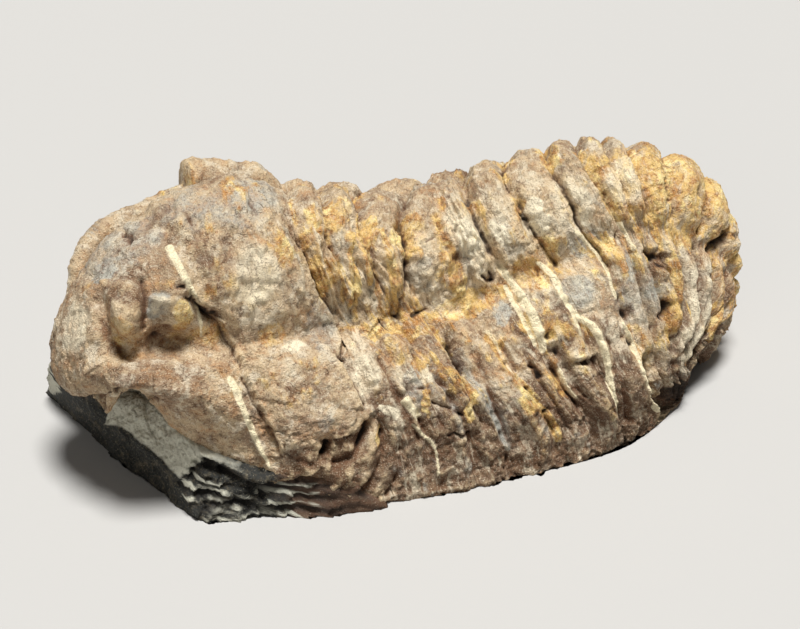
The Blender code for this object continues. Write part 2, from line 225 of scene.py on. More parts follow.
def place(station, out, up, sweep):
    """Pivot plus up times the lean's sine and cosine, plus sweep at right angles to it; out is Y."""
    lean = np.radians(along(LEAN, station))
    x = along(PIVOT_X, station) + up * np.sin(lean) + sweep * np.cos(lean)
    z = along(PIVOT_Z, station) + up * np.cos(lean) - sweep * np.sin(lean)
    return np.stack((x - CENTRE[0], out - CENTRE[1], z - GROUND_CUT), axis=-1)


def back_surface(station, share):
    """Foot, bend, furrow, crest, furrow, bend and foot, with blends between them, joined by cubics."""
    near_foot, near_bend, near_furrow, crest, far_furrow, far_bend, far_foot = (
        along(pairs, station) for pairs in (NEAR_FOOT_UP, NEAR_BEND_UP, NEAR_FURROW_UP, CREST_UP,
                                            FAR_FURROW_UP, FAR_BEND_UP, FAR_FOOT_UP))
    # the blends make each section bulge between its key points as the solid's does
    up = across((near_foot, mix(near_foot, near_bend, 0.5), near_bend, mix(near_bend, near_furrow, 0.58),
                 near_furrow, mix(crest, near_furrow, 0.3), crest, mix(crest, far_furrow, 0.25),
                 far_furrow, mix(far_furrow, far_bend, 0.45), far_bend, mix(far_foot, far_bend, 0.5),
                 far_foot), share)
    near_foot, near_bend, near_furrow, far_furrow, far_bend, far_foot = (
        along(pairs, station) for pairs in (NEAR_FOOT_OUT, NEAR_BEND_OUT, NEAR_FURROW_OUT,
                                            FAR_FURROW_OUT, FAR_BEND_OUT, FAR_FOOT_OUT))
    out = across((-near_foot, -mix(near_foot, near_bend, 0.45), -near_bend,
                  -mix(near_furrow, near_bend, 0.5), -near_furrow, -MIDWAY_OUT * near_furrow,
                  np.full_like(station, CREST_OUT),
                  MIDWAY_OUT * far_furrow, far_furrow, mix(far_furrow, far_bend, 0.5), far_bend,
                  mix(far_bend, far_foot, 0.6), far_foot), share)
    reach = np.abs(share)
    to_furrow = np.clip(reach / FURROW_SHARE, 0, 1) ** SWEEP_POWER
    to_foot = np.clip((reach - FURROW_SHARE) / (1 - FURROW_SHARE), 0, 1)
    near_sweep = mix(along(FURROW_SWEEP, station) * to_furrow, along(FOOT_SWEEP, station), to_foot)
    far_sweep = along(FAR_SWEEP, station) * np.clip(reach / BEND_SHARE, 0, 1) ** SWEEP_POWER
    return place(station, out, up, np.where(share < 0, near_sweep, far_sweep))


def base_surface(station, part):
    """Straight from the far foot (0) to the near foot (1), sagging by a half sine where it lies down."""
    far_out, near_out = along(FAR_FOOT_OUT, station), -along(NEAR_FOOT_OUT, station)
    far_up, near_up = along(FAR_FOOT_UP, station), along(NEAR_FOOT_UP, station)
    on_ground = fade(station, HEAD_END - 2, HEAD_END) * (1 - fade(station, *CURL_STARTS))
    sag = BASE_SAG * on_ground * np.sin(np.pi * part) * (0.75 + 0.25 * np.sin(1.7 * station))
    return place(station, mix(far_out, near_out, part), mix(far_up, near_up, part) - sag, 0 * part)


head_crest = back_surface(np.array([float(HEAD_END)]), np.array([0.0]))
print("crest at the back of the head, mm:", head_crest[0].round(1))

# %% [markdown]
# ## One fine grid
#
# A scan of a stone has a point every fifth of a millimetre, and so does this grid. It is one table
# of points: rows by positions round the section. The near side gets the most columns, because the
# photo tells the most about it.

# %% Body grid
HEAD_ROWS, ROWS_PER_SEGMENT, TAIL_ROWS = 205, 30, 190
NEAR_COLUMNS, FAR_COLUMNS, BASE_COLUMNS = 250, 160, 36

counts = np.concatenate((
    np.linspace(0, HEAD_END, HEAD_ROWS, endpoint=False),
    np.linspace(HEAD_END, TAIL_START, (TAIL_START - HEAD_END) * ROWS_PER_SEGMENT, endpoint=False),
    np.linspace(TAIL_START, TAIL_END, TAIL_ROWS)))
shares = np.concatenate((
    np.linspace(-1, 0, NEAR_COLUMNS, endpoint=False), np.linspace(0, 1, FAR_COLUMNS)))
back_columns = len(shares)

count, share = np.meshgrid(counts, np.concatenate((shares, np.ones(BASE_COLUMNS))), indexing="ij")
station = station_of(count, share)
part = np.broadcast_to(np.linspace(0, 1, BASE_COLUMNS + 2)[1:-1], (len(counts), BASE_COLUMNS))
station[:, back_columns:] = mix(station[:, back_columns - 1:back_columns], station[:, :1], part)
body = np.concatenate((
    back_surface(station[:, :back_columns], share[:, :back_columns]),
    base_surface(station[:, back_columns:], part)), axis=1)
on_back = np.ones_like(share)
on_back[:, back_columns:] = 0
reach = np.abs(share)


def outward(points):
    """Unit normals: the step from row to row crossed with the step round, which wraps."""
    along_rows = np.gradient(points, axis=0)
    round_rows = np.roll(points, -1, axis=1) - np.roll(points, 1, axis=1)
    normals = np.cross(along_rows, round_rows)
    return normals / np.maximum(np.linalg.norm(normals, axis=-1, keepdims=True), 1e-9)


print("body grid:", body.shape[:2], "mm:", body.min((0, 1)).round(1), body.max((0, 1)).round(1))

# %% [markdown]
# ## The matrix under the head
#
# The broken mudstone is a chunk with flat fresh faces, and its corners are the solid's. A convex
# shape is all that lies inside its faces' planes, so the distance to its skin along any direction is
# the least, over the planes, of the plane's distance over the cosine between. That makes it a surface
# of two parameters too, turn and tilt, and the same marks and noise can be laid on it.

# %% Chunk grid
import bmesh

CHUNK_CORNERS = (
    (-38, 15, 0), (-36, 9.5, 0), (-34.3, 4.5, 0), (-33, -3, 0), (-30, -9, 0), (-27.7, -14.8, 0),
    (-21, -16.8, 0), (-14, -19, 0), (-8, -19.4, 0), (-6, -14, 0), (-8, 14, 0), (-28, 18, 0),
    (-38, 12, 6.5), (-37, 8, 7.5), (-34.5, 0.5, 5), (-33.6, -0.5, 9), (-32.2, -2.8, 6),
    (-30, -7.7, 4.6), (-28.8, -10.7, 3.5), (-30.2, -3.8, 10), (-29, -7.8, 9), (-26.8, -12.8, 7.5),
    (-21.5, -16, 5), (-12, -18, 4), (-14, 14, 10), (-28, 15, 11),
)
CHUNK_TURNS, CHUNK_TILTS = 440, 190

corners = np.array(CHUNK_CORNERS, float) - (*CENTRE, GROUND_CUT)
hull = bmesh.new()
for corner in corners:
    hull.verts.new(corner)
bmesh.ops.convex_hull(hull, input=hull.verts)
middle = corners.mean(0)
planes = np.array([face.normal for face in hull.faces])
offsets = np.array([face.normal.dot(face.calc_center_median()) for face in hull.faces])
offsets = offsets - planes @ middle
planes = planes * np.sign(offsets)[:, None]
offsets = np.abs(offsets)
hull.free()

turns = np.linspace(0, 2 * np.pi, CHUNK_TURNS, endpoint=False)
tilts = np.linspace(np.pi / 2, -np.pi / 2, CHUNK_TILTS + 2)[1:-1]
tilts, turns = np.meshgrid(tilts, turns, indexing="ij")
rays = np.stack((np.cos(tilts) * np.cos(turns), np.cos(tilts) * np.sin(turns), np.sin(tilts)), axis=-1)
chunk = middle + rays * (offsets / np.maximum(rays @ planes.T, 1e-6)).min(-1)[..., None]
print("chunk grid:", chunk.shape[:2], "mm:", chunk.min((0, 1)).round(1), chunk.max((0, 1)).round(1))

# %% [markdown]
# ## Which points the camera sees
#
# From here on, body and chunk are one list of points, so that a mark can cross from one to the
# other. A pixel's line of sight may pass through the stone twice, and a mark belongs only where it
# comes in. A coarse depth map settles this, as a renderer would: the picture is cut into small
# squares, each keeps the least depth of the points in it, and a point counts as seen if it faces the
# camera and lies within a few millimetres of that depth.

# %% Points in view
# the squares in pixels, the slack in millimetres
CELL = 3
DEPTH_SLACK = 2.2
LEAST_FACING = 0.02

body_size = body.shape[0] * body.shape[1]
body_normals = outward(body).reshape(-1, 3)
plain = np.concatenate((body.reshape(-1, 3), chunk.reshape(-1, 3)))
directions = np.concatenate((body_normals, rays.reshape(-1, 3)))
facing = np.concatenate((body_normals, outward(chunk).reshape(-1, 3))) @ backward

shown, depth = seen_at(plain)
cells = (shown // CELL).astype(int)
cells = np.clip(cells[:, 1], 0, FRAME[1]) * FRAME[0] + np.clip(cells[:, 0], 0, FRAME[0] - 1)
nearest = np.full(FRAME[0] * (FRAME[1] + 1), np.inf)
np.minimum.at(nearest, cells, depth)
in_view = (facing > LEAST_FACING) & (depth < nearest[cells] + DEPTH_SLACK)
print("points:", len(plain), "share in view:", round(in_view.mean(), 2))

# %% [markdown]
# ## Noise made of whole arrays
#
# Rock is rough at every scale. Noise is a random number for each corner of a grid of cubes, blended
# smoothly inside each cube. Blender has noise of its own for single points, but numpy does all
# four hundred thousand points at once, and the same cells give the same numbers on every run.

# %% Noise helpers
CELL_FACTORS = (374761393, 668265263, 2246822519)
SEED_FACTOR, FOLD_FACTOR = 3266489917, 1274126177
LOW_BITS = 0xFFFFFF


def hashed(cells, seed):
    """A number from 0 to 1 for each whole-number cell, by multiplying and folding its bits."""
    bits = sum(cells[..., axis] * factor for axis, factor in enumerate(CELL_FACTORS))
    bits = bits + seed * SEED_FACTOR
    bits = (bits ^ (bits >> 13)) * FOLD_FACTOR
    bits = bits ^ (bits >> 16)
    return (bits & LOW_BITS) / LOW_BITS


def lattice(points, size, seed):
    """Smooth noise from -1 to 1: the eight corner numbers of a cube, blended by fifth-power curves."""
    scaled = points / size
    corner = np.floor(scaled).astype(np.int64)
    t = scaled - corner
    t = t * t * t * (t * (t * 6 - 15) + 10)
    total = 0
    for offset in np.ndindex(2, 2, 2):
        weight = np.prod(np.where(np.array(offset) == 1, t, 1 - t), axis=-1)
        total = total + weight * hashed(corner + np.array(offset), seed)
    return 2 * total - 1


def rough(points, size, seed, octaves=3, gain=0.5):
    """Noise on noise: each octave is half as large and gain times as strong as the one before."""
    return sum(gain ** octave * lattice(points, size / 2 ** octave, seed + octave)
               for octave in range(octaves))


def nearby_centres(points, size, seed):
    """For each of the 27 cubes round a point: its cell, and the offset from its own random centre."""
    scaled = points / size
    corner = np.floor(scaled).astype(np.int64)
    for offset in np.ndindex(3, 3, 3):
        cell = corner + np.array(offset) - 1
        centre = cell + np.stack([hashed(cell, seed + axis) for axis in range(3)], axis=-1)
        yield cell, scaled - centre


def chips(points, size, seed):
    """Flat facets: each point takes the tilted plane of the nearest of one random centre to a cube."""
    best = np.full(points.shape[:-1], np.inf)
    height = np.zeros(points.shape[:-1])
    for cell, away in nearby_centres(points, size, seed):
        distance = (away ** 2).sum(-1)
        tilt = np.stack([hashed(cell, seed + 3 + axis) - 0.5 for axis in range(3)], axis=-1)
        plane = 2 * (away * tilt).sum(-1) + hashed(cell, seed + 6) - 0.5
        closer = distance < best
        best = np.where(closer, distance, best)
        height = np.where(closer, plane, height)
    return height


def pits(points, size, radius, chance, seed):
    """Depth from 0 to 1 of round pits: a bell round the random centre, in a share of the cubes."""
    depth = np.zeros(points.shape[:-1])
    for cell, away in nearby_centres(points, size, seed):
        distance = np.linalg.norm(away, axis=-1) * size
        size_here = radius * (0.5 + hashed(cell, seed + 4))
        bell = np.exp(-(distance / size_here) ** 2)
        depth = np.maximum(depth, (hashed(cell, seed + 3) < chance) * bell)
    return depth


sample = lattice(np.linspace(0, 60, 3000).reshape(-1, 3), 2, 1)
print("noise, least and most of 1,000 places:", sample.min().round(2), sample.max().round(2))

# %% [markdown]
# ## Rings, ribs and the head's lumps
#
# Thirteen segments overlap like roof tiles. On the axis each is a rounded ring with a deep groove in
# front of it, and on the flank it is a rib. A ring's profile is a function of the row count's
# fraction: a fade up, a plateau and a fade down, blended with a half sine that rounds its top.
# Weathered rings aren't even, so each has its own height, and the counts are bent a little by noise.
# The near side keeps less of this even relief, because its grooves are placed one by one further on.
# Fine streaks run along the ribs: they are noise too, but read at the row count and the share
# instead of at the place, so they follow every bend.

# %% Segment relief
RING_HEIGHT = RIB_HEIGHT = 1.5
SOLID_LEVEL = 0.7
ROUND_PART, ROUND_POWER = 0.7, 0.7
FILLED_GROOVE = 10
TAIL_RELIEF = 0.8
CALM_FRONT, CALM_REAR, CALM_LAST_RIBS = 0.75, 0.3, 0.65
FURROW_DEPTH, FURROW_WIDTH = 0.8, 0.045
STREAKS_PER_SEGMENT, STREAKS_ACROSS = 2.2, 8

bent_count = count + 0.07 * lattice(body, 5, 11) + 0.025 * lattice(body, 1.5, 12)
segment = np.floor(bent_count)
fraction = bent_count - segment
segment_cell = np.stack([segment.astype(np.int64)] * 3, axis=-1)
uneven = hashed(segment_cell, 21)
lead = 0.1 * hashed(segment_cell, 22)

# the profile: up, along and down again, then its rounder top, and one groove filled beyond the crest
ring = fade(fraction, 0, 0.35 + lead) * (1 - fade(fraction, 0.8 + lead, 0.99))
ring = mix(ring, np.sin(np.pi * fraction) ** ROUND_POWER, ROUND_PART)
ring = mix(ring, 1, bump(count, FILLED_GROOVE, 0.35) * fade(share, -0.05, 0.1))

on_axis = 1 - fade(reach, FURROW_SHARE - 0.06, FURROW_SHARE)
on_flank = fade(reach, FURROW_SHARE, FURROW_SHARE + 0.06) * (1 - 0.5 * fade(reach, 0.75, 1))
in_segments = fade(count, HEAD_END, HEAD_END + 0.15) * (1 - fade(count, TAIL_END - 1.5, TAIL_END))
in_segments = on_back * in_segments
tail_size = mix(1, TAIL_RELIEF, fade(count, TAIL_START - 1, TAIL_START + 1))
near_side = 1 - fade(share, -0.12, 0.05)

calm = near_side * mix(CALM_FRONT, CALM_REAR, fade(count, 9, 12)) * mix(1, 0.3, on_flank)
calm = np.maximum(calm, CALM_LAST_RIBS * near_side * on_flank * fade(station, 16.5, 18.5))
segments = in_segments * tail_size * (ring - SOLID_LEVEL) * (0.8 + 0.4 * uneven) * (1 - calm)
segments = segments * (RING_HEIGHT * on_axis + RIB_HEIGHT * on_flank)
furrows = -FURROW_DEPTH * fade(count, 1, 2.5) * (1 - fade(count, TAIL_END - 3, TAIL_END))
furrows = furrows * bump(reach, FURROW_SHARE, FURROW_WIDTH)
print("segments, mm:", segments.min().round(2), segments.max().round(2))

# %% [markdown]
# The head has no rings. Its raised rear band ends in front in a broken edge, and before it and on the
# far cheek lie lumps and hollows. A sculpting brush would raise them. Here each is a bell with a
# place and a size, so that it can be moved without doing the others again.

# %% Head relief
BAND_HEIGHT = 1.0
BAND_EDGE = ((-1, 4.7), (-0.7, 4.4), (-0.5, 4.2), (-0.32, 4.1), (-0.24, 3.7), (-0.16, 3.4), (0, 3.0))
HEAD_LUMPS = (
    # station, share, height, half length, half width
    (2.35, -0.23, 1.3, 0.30, 0.08),
    (3.15, -0.22, 1.0, 0.26, 0.07),
    (2.78, -0.26, -1.0, 0.17, 0.08),
    (3.05, -0.32, -1.2, 0.40, 0.045),
    (1.95, -0.22, -1.2, 0.18, 0.10),
    (2.6, 0.40, -1.2, 0.9, 0.10),
    (2.4, 0.66, 1.8, 1.6, 0.10),
    (3.6, 0.52, 0.9, 0.5, 0.07),
    (4.2, 0.80, -0.9, 1.3, 0.05),
    (2.2, 0.84, -0.7, 0.9, 0.05),
    (1.0, -0.36, 1.2, 0.4, 0.08),
    (0.7, -0.60, -1.5, 0.4, 0.08),
)
# first and last station, least and greatest share, height
FAR_BLOCK = (4.3, 6.4, 0.46, 0.86, 2.8)


def rear_band(count, station, share):
    """1 on the head's thick rear band: a fade in over its front edge, a fade out at the first groove."""
    edge = along(BAND_EDGE, np.minimum(share, 0))
    return fade(station, edge, edge + 0.25) * (1 - fade(count, HEAD_END - 0.5, HEAD_END + 0.1))


def head_relief(count, station, share):
    """Raised rear band, plus a bell for each lump, plus the block on the far cheek as crossed fades."""
    height = BAND_HEIGHT * rear_band(count, station, share) * (1 - fade(share, 0.1, 0.35))
    for middle_station, side, size, half_length, half_width in HEAD_LUMPS:
        lump = size * bump(station, middle_station, half_length) * bump(share, side, half_width)
        height = height + lump
    first, last, low, high, size = FAR_BLOCK
    block = fade(station, first, first + 0.2) * (1 - fade(station, last - 0.6, last))
    return height + size * block * fade(share, low, low + 0.18) * (1 - fade(share, high - 0.14, high))


body_relief = on_back * (segments + furrows + head_relief(count, station, share))
body_relief = body_relief * (1 - fade(reach, 0.9, 1))
strand = np.stack((STREAKS_PER_SEGMENT * bent_count, STREAKS_ACROSS * share, 0 * share), axis=-1)
streaked = on_back * np.maximum(in_segments, 0.7 * rear_band(count, station, share))
streaks = streaked * rough(strand, 0.55, 13, 4, 0.65)
print("relief, mm:", body_relief.min().round(2), body_relief.max().round(2))

# %% [markdown]
# ## Stains
#
# The colours lie in patches: ochre where iron water ran along the furrows, grey on the rubbed tops,
# purple-brown low on the flanks, partly as painted shade towards the foot, cream beside the veins,
# and a darkening between the rings that is painted shade. They could be painted on the mesh by hand.
# Here each is a number from 0 to 1 at every point, kept as an attribute of the mesh, so that a stain
# and the relief that it follows can be laid down together. The calcite of the veins has a stain of
# its own, "vein", and so has the fresh break of the matrix, which also carries painted light on the
# chunk's upward faces and painted highlights on its bed edges. The material turns the numbers into
# colours later.

# %% Stains that follow a rule
coarse = rough(body, 6, 31)
medium = rough(body, 2.5, 41)
hollow_rows = in_segments * (1 - ring)
low_down = fade(reach, 0.55, 0.8)
spots = (0.35 * coarse + 0.4 * medium + 0.5 * streaks) * (1 - 0.8 * low_down)
ochre_rows = 0.5 * bump(reach, FURROW_SHARE, 0.06) * in_segments + 0.4 * hollow_rows * on_axis
ochre_rows = ochre_rows + 0.5 * in_segments * fade(station, 14, 17) * on_axis

body_stains = {
    "ochre": on_back * np.clip(ochre_rows + spots, 0, 1),
    "grey": np.clip(0.3 * on_axis * in_segments * ring + 0.4 * medium - 0.1 + 0.35 * streaks, 0, 1),
    # partly painted shade: the purple-brown grows low on the flanks, darker towards the foot
    "purple": np.clip(1.1 * low_down * in_segments + 0.7 * (1 - on_back) + 0.35 * coarse, 0, 1),
    "cream": np.clip(in_segments * ring * (0.15 + 0.5 * medium - 0.5 * streaks), 0, 0.5),
    "rust": np.clip(0.4 * coarse - 0.1 - 0.5 * streaks, 0, 1) * on_back,
    # painted shade: the rows between the rings are darkened
    "dark": 0.25 * hollow_rows * (0.5 + 0.5 * on_axis),
    "fresh_and_lit": 0 * share,
    "vein": 0 * share,
}
bare_chunk = np.zeros(chunk[..., 0].size)
relief = np.concatenate((body_relief.ravel(), bare_chunk))
stains = {name: np.concatenate((field.ravel(), bare_chunk)) for name, field in body_stains.items()}
print("mean of each stain:", {name: round(field.mean(), 2) for name, field in body_stains.items()})

# %% [markdown]
# ## Marks placed one by one
#
# A mark is a smooth line through a few pixels of the photo. For every point in view, the trace gives
# the distance to that line, how far along it the nearest place is, and on which side the point lies.
# From these three numbers come all the marks: a vein is a raised bell, a groove a sunk one, a crack a
# narrow dark one, and a lip is a step that is high on one side and dies away behind. Nothing in a
# stone is drawn with a ruler, so the points' pixels are first shaken by noise at three sizes, and
# every height is varied along the way.

# %% Trace a line
REACH = 60
STEPS_PER_POINT = 6
# size of the noise in millimetres, and how many pixels it shakes the points by
SHAKES = ((3.2, 2.3), (1.2, 1.3), (0.45, 0.8))

shake = sum(pixels * np.stack((lattice(plain, size, 51), lattice(plain, size, 52)), axis=-1)
            for size, pixels in SHAKES)
ragged_shown = shown + shake
steady_shown = shown + 0.3 * shake
vary = np.clip(0.85 + 0.55 * rough(plain, 2.2, 53, 3, 0.6), 0.25, 1.4)
wander = np.clip(0.95 + 0.6 * lattice(plain, 3.5, 54), 0.4, 1.4)


def smooth_line(points):
    """Catmull-Rom curve: between two points, a cubic whose end slopes join the points beside them."""
    p = np.array(points, float)
    p = np.concatenate((2 * p[:1] - p[1:2], p, 2 * p[-1:] - p[-2:-1]))
    t = np.linspace(0, 1, STEPS_PER_POINT, endpoint=False)[:, None]
    a, b, c, d = (p[i:len(p) - 3 + i, None] for i in range(4))
    curve = 2 * b + (c - a) * t + (2 * a - 5 * b + 4 * c - d) * t ** 2 + (3 * b - a - 3 * c + d) * t ** 3
    return np.concatenate((curve.reshape(-1, 2) / 2, p[-2:-1]))


def trace(points, places=ragged_shown):
    """Least distance to the line's short pieces, part of the way along, and side (1 right, -1 left)."""
    line = smooth_line(points)
    boxed = in_view & (shown > line.min(0) - REACH).all(-1) & (shown < line.max(0) + REACH).all(-1)
    near = np.nonzero(boxed)[0]
    start, step = line[:-1], np.diff(line, axis=0)
    offset = places[near][:, None] - start
    part = np.clip((offset * step).sum(-1) / (step ** 2).sum(-1), 0, 1)
    gap = offset - part[..., None] * step
    distance = np.hypot(gap[..., 0], gap[..., 1])
    best = distance.argmin(1)
    rows = np.arange(len(best))
    side = step[best, 1] * gap[rows, best, 0] - step[best, 0] * gap[rows, best, 1]
    progress = (best + part[rows, best]) / len(step)
    return near, distance[rows, best], progress, np.where(side < 0, -1, 1)


print("points are shaken by up to", np.abs(shake).max().round(1), "pixels")

# %% [markdown]
# Each kind of mark adds to the relief and to a stain at the same points. Width is in pixels, height
# and depth are in millimetres, and strength is the stain's, from 0 to 1.

# %% Kinds of mark
RIDGE_WIDENING = 1.2


def ends(progress, length=0.12):
    """1 along the middle of a line, fading to 0 at both of its ends."""
    return fade(progress, 0, length) * (1 - fade(progress, 1 - length, 1))


def stain(name, near, amount):
    """Raises a stain at the points near a mark to at least the given amount."""
    stains[name][near] = np.maximum(stains[name][near], amount)


def ridge(width, height, colour, strength, points):
    """Bell of the distance over a half width that runs from the first to the second given value."""
    near, distance, progress, _ = trace(points, steady_shown)
    wide = RIDGE_WIDENING * mix(width[0], width[1], progress)
    wide = wide * (0.5 + 0.2 * vary[near] + 0.35 * wander[near])
    shape = np.exp(-(distance / wide) ** 1.6) * ends(progress, 0.1)
    flank = np.exp(-(distance / (2.2 * wide)) ** 2) * ends(progress, 0.2)
    relief[near] += height * vary[near] * (0.5 * shape + 0.5 * flank)
    if colour == "vein":
        calcite = fade(shape, 0.1, 0.7) * np.clip(0.55 + 0.45 * wander[near], 0, 1)
        stain("vein", near, strength * calcite)
        stain("cream", near, 0.5 * flank)
        return
    colouring = 0.7 * fade(shape * (0.5 + 0.4 * vary[near]), 0.2, 0.75) + 0.4 * flank
    stain(colour, near, strength * colouring * (0.75 + 0.35 * wander[near]))


def groove(width, depth, colour, strength, points, places=ragged_shown):
    """Narrow bell plus a wide one three times its width, both sunk; its middle is stained."""
    near, distance, progress, _ = trace(points, places)
    narrow = distance / (mix(width[0], width[1], progress) * (0.6 + 0.45 * vary[near]))
    shape = ends(progress) * (0.5 + 0.5 * vary[near])
    relief[near] -= depth * shape * (0.65 * np.exp(-narrow ** 2) + 0.35 * np.exp(-(narrow / 3) ** 2))
    stain(colour, near, strength * shape * np.exp(-(narrow / 1.6) ** 2))
    # painted shade: the groove's middle is darkened
    stain("dark", near, 0.4 * shape * np.exp(-(narrow / 0.8) ** 2))


def crack(width, depth, points):
    """Thin bell of the distance, sunk and dark."""
    near, distance, progress, _ = trace(points)
    shape = np.exp(-(distance / (width * (0.9 + 0.6 * vary[near]))) ** 2) * ends(progress, 0.08)
    relief[near] -= depth * shape
    stain("dark", near, shape * np.clip(vary[near], 0, 1))


def lip(side, height, behind, drop, ahead, points):
    """Step: the height dies away behind the edge, on its high side, and the drop dies away ahead."""
    near, distance, progress, where = trace(points)
    signed = distance * where * side
    edge = fade(signed, -1, 1)
    high = height * np.exp(-np.maximum(signed, 0) / behind)
    low = -drop * np.exp(-np.maximum(-signed, 0) / ahead) * (0.4 + 0.6 * vary[near])
    relief[near] += ends(progress) * mix(low, high, edge)
    shadow = (1 - edge) * np.exp(-distance / (0.3 * ahead)) * fade(drop, 0.2, 1.4)
    stain("dark", near, 0.45 * ends(progress) * shadow * vary[near])


print("a line's smooth curve has", STEPS_PER_POINT, "pieces from one point to the next")

# %% [markdown]
# The veins are calcite that filled the seams between the ribs. It wears more slowly than the
# mudstone, so it stands proud as thin pale ridges, most of them running down and back. They are laid
# down first, with the low ridges of the ribs beside them.

# %% Veins and ridges
VEINS = {
    # name: half widths at both ends, height, stain and its strength, points
    "front stick": ((3.4, 3.0), 0.6, "vein", 1, ((167, 245), (174, 259), (183, 277), (196, 300))),
    "stick end": ((2, 1.2), 0.2, "vein", 0.8, ((196, 300), (200, 318), (204, 342))),
    "cheek stick": ((4.2, 1), 0.5, "vein", 1, (
        (226, 371), (239, 398), (250, 425), (262, 450), (273, 471))),
    "first rib": ((5.5, 4), 0.7, "cream", 0.55, ((343, 334), (357, 355), (370, 376), (379, 394))),
    "second rib": ((5, 4), 0.7, "cream", 0.45, ((384, 330), (394, 350), (400, 372), (404, 396))),
    "white wedge": ((4.5, 3), 0.3, "vein", 0.9, ((403, 397), (412, 408), (421, 421))),
    "thin line": ((1.6, 1.2), 0.4, "vein", 0.7, (
        (409, 421), (422, 434), (433, 444), (438, 460), (438, 482))),
    "grey rib": ((6.5, 3.5), 1.1, "grey", 1, (
        (452, 340), (462, 362), (475, 385), (490, 408), (499, 424), (506, 442), (510, 456))),
    "ochre rib": ((5, 4), 0.7, "ochre", 0.9, (
        (480, 328), (492, 343), (503, 362), (515, 382), (530, 400), (548, 415), (558, 435), (562, 448))),
    "ochre rib cream": ((1.6, 1.6), 0.2, "vein", 0.6, ((482, 326), (494, 341), (505, 360), (517, 380))),
    "white rib": ((3, 4.5), 0.8, "vein", 1, (
        (497, 262), (508, 277), (522, 297), (533, 318), (541, 338), (546, 356))),
    "white rib branch": ((2.4, 2), 0.4, "vein", 0.9, (
        (503, 282), (512, 300), (522, 316), (530, 334), (537, 348))),
    "long vein": ((3.2, 2.4), 0.7, "vein", 1, (
        (527, 259), (545, 268), (556, 281), (562, 297), (576, 314), (591, 326), (601, 344), (608, 362),
        (612, 382), (617, 404), (624, 425))),
    "long vein branch": ((2.6, 1.5), 0.5, "vein", 0.8, (
        (562, 292), (569, 308), (576, 322), (582, 340))),
    "small vein": ((2.2, 1.4), 0.5, "vein", 0.8, ((560, 363), (566, 380), (574, 393), (582, 402))),
    "crack ridge": ((2.2, 2.2), 0.6, "vein", 0.9, (
        (570, 227), (586, 240), (600, 256), (607, 270), (612, 288), (620, 303))),
    "last vein": ((2.2, 2), 0.7, "vein", 0.9, (
        (620, 316), (630, 332), (637, 350), (642, 372), (647, 388), (655, 400), (656, 416))),
    "tail vein": ((2.2, 1.6), 0.5, "vein", 0.8, ((619, 221), (628, 235), (635, 252))),
    "pink ring": ((9, 8), 0.9, "cream", 0.5, (
        (442, 201), (455, 225), (468, 245), (478, 268), (482, 288))),
    "yellow ring": ((4.5, 4), 0.7, "ochre", 0.8, ((441, 252), (447, 268), (453, 285), (457, 300))),
    "red ring": ((5, 5), 0.7, "ochre", 0.5, ((385, 247), (390, 265), (397, 285), (401, 298))),
    "second ring": ((4, 3), 0.6, "ochre", 0.8, ((350, 250), (354, 280), (357, 310), (358, 325))),
    "first ring": ((3, 2.5), 0.6, "cream", 0.5, (
        (308, 214), (316, 240), (324, 268), (331, 294), (338, 326))),
    "yellow line 1": ((2.4, 2), 0.5, "ochre", 1, ((353, 228), (350, 256), (352, 286), (351, 318))),
    "yellow line 2": ((2.4, 2), 0.5, "ochre", 1, ((362, 248), (367, 268), (371, 290))),
    "orange line": ((2.4, 2.4), 0.6, "ochre", 0.8, ((380, 224), (386, 250), (391, 280), (396, 312))),
    "grey line": ((2.5, 2), 0.4, "grey", 0.8, ((340, 222), (341, 250), (343, 280), (345, 310))),
    "ledge": ((2, 2), 0.4, "cream", 0.35, ((345, 505), (400, 495), (440, 490), (500, 478))),
    "fold 1": ((4, 3), 0.8, "rust", 0.3, ((352, 434), (351, 460), (339, 482), (320, 498))),
    "fold 2": ((4, 3), 0.8, "rust", 0.3, ((372, 428), (371, 458), (358, 484), (338, 502))),
    "fold 3": ((3.5, 3), 0.5, "rust", 0.3, ((388, 420), (392, 450), (384, 478), (368, 500))),
    "fourth rib": ((5.5, 4.5), 0.8, "grey", 0.5, (
        (420, 345), (432, 368), (446, 392), (458, 420), (466, 446))),
    "flank rib": ((5.5, 4.5), 0.8, "ochre", 0.35, ((512, 385), (528, 412), (538, 436), (545, 462))),
    "flank rib 2": ((5, 4), 0.7, "ochre", 0.35, ((586, 372), (600, 392), (610, 412), (618, 440))),
    "tail rib 1": ((5, 4), 0.8, "cream", 0.6, (
        (690, 250), (692, 290), (690, 318), (683, 338), (673, 356))),
    "tail rib 2": ((5, 4), 0.8, "cream", 0.6, (
        (708, 246), (710, 280), (708, 310), (703, 330), (692, 350), (682, 368))),
    "tail rib 3": ((4, 3), 0.8, "ochre", 0.6, (
        (722, 256), (724, 288), (722, 312), (714, 332), (703, 350))),
    "tail rib 0": ((5, 4), 0.8, "ochre", 1, (
        (668, 250), (674, 275), (676, 295), (673, 318), (667, 338))),
    "oval lobe": ((13, 12), 1.2, "rust", 0.35, ((124, 278), (122, 304), (130, 342))),
    "grey lobe": ((8, 8), 0.8, "grey", 1, ((159, 294), (157, 316))),
}
for width, height, colour, strength, points in VEINS.values():
    ridge(width, height, colour, strength, points)
print("veins and ridges:", len(VEINS))
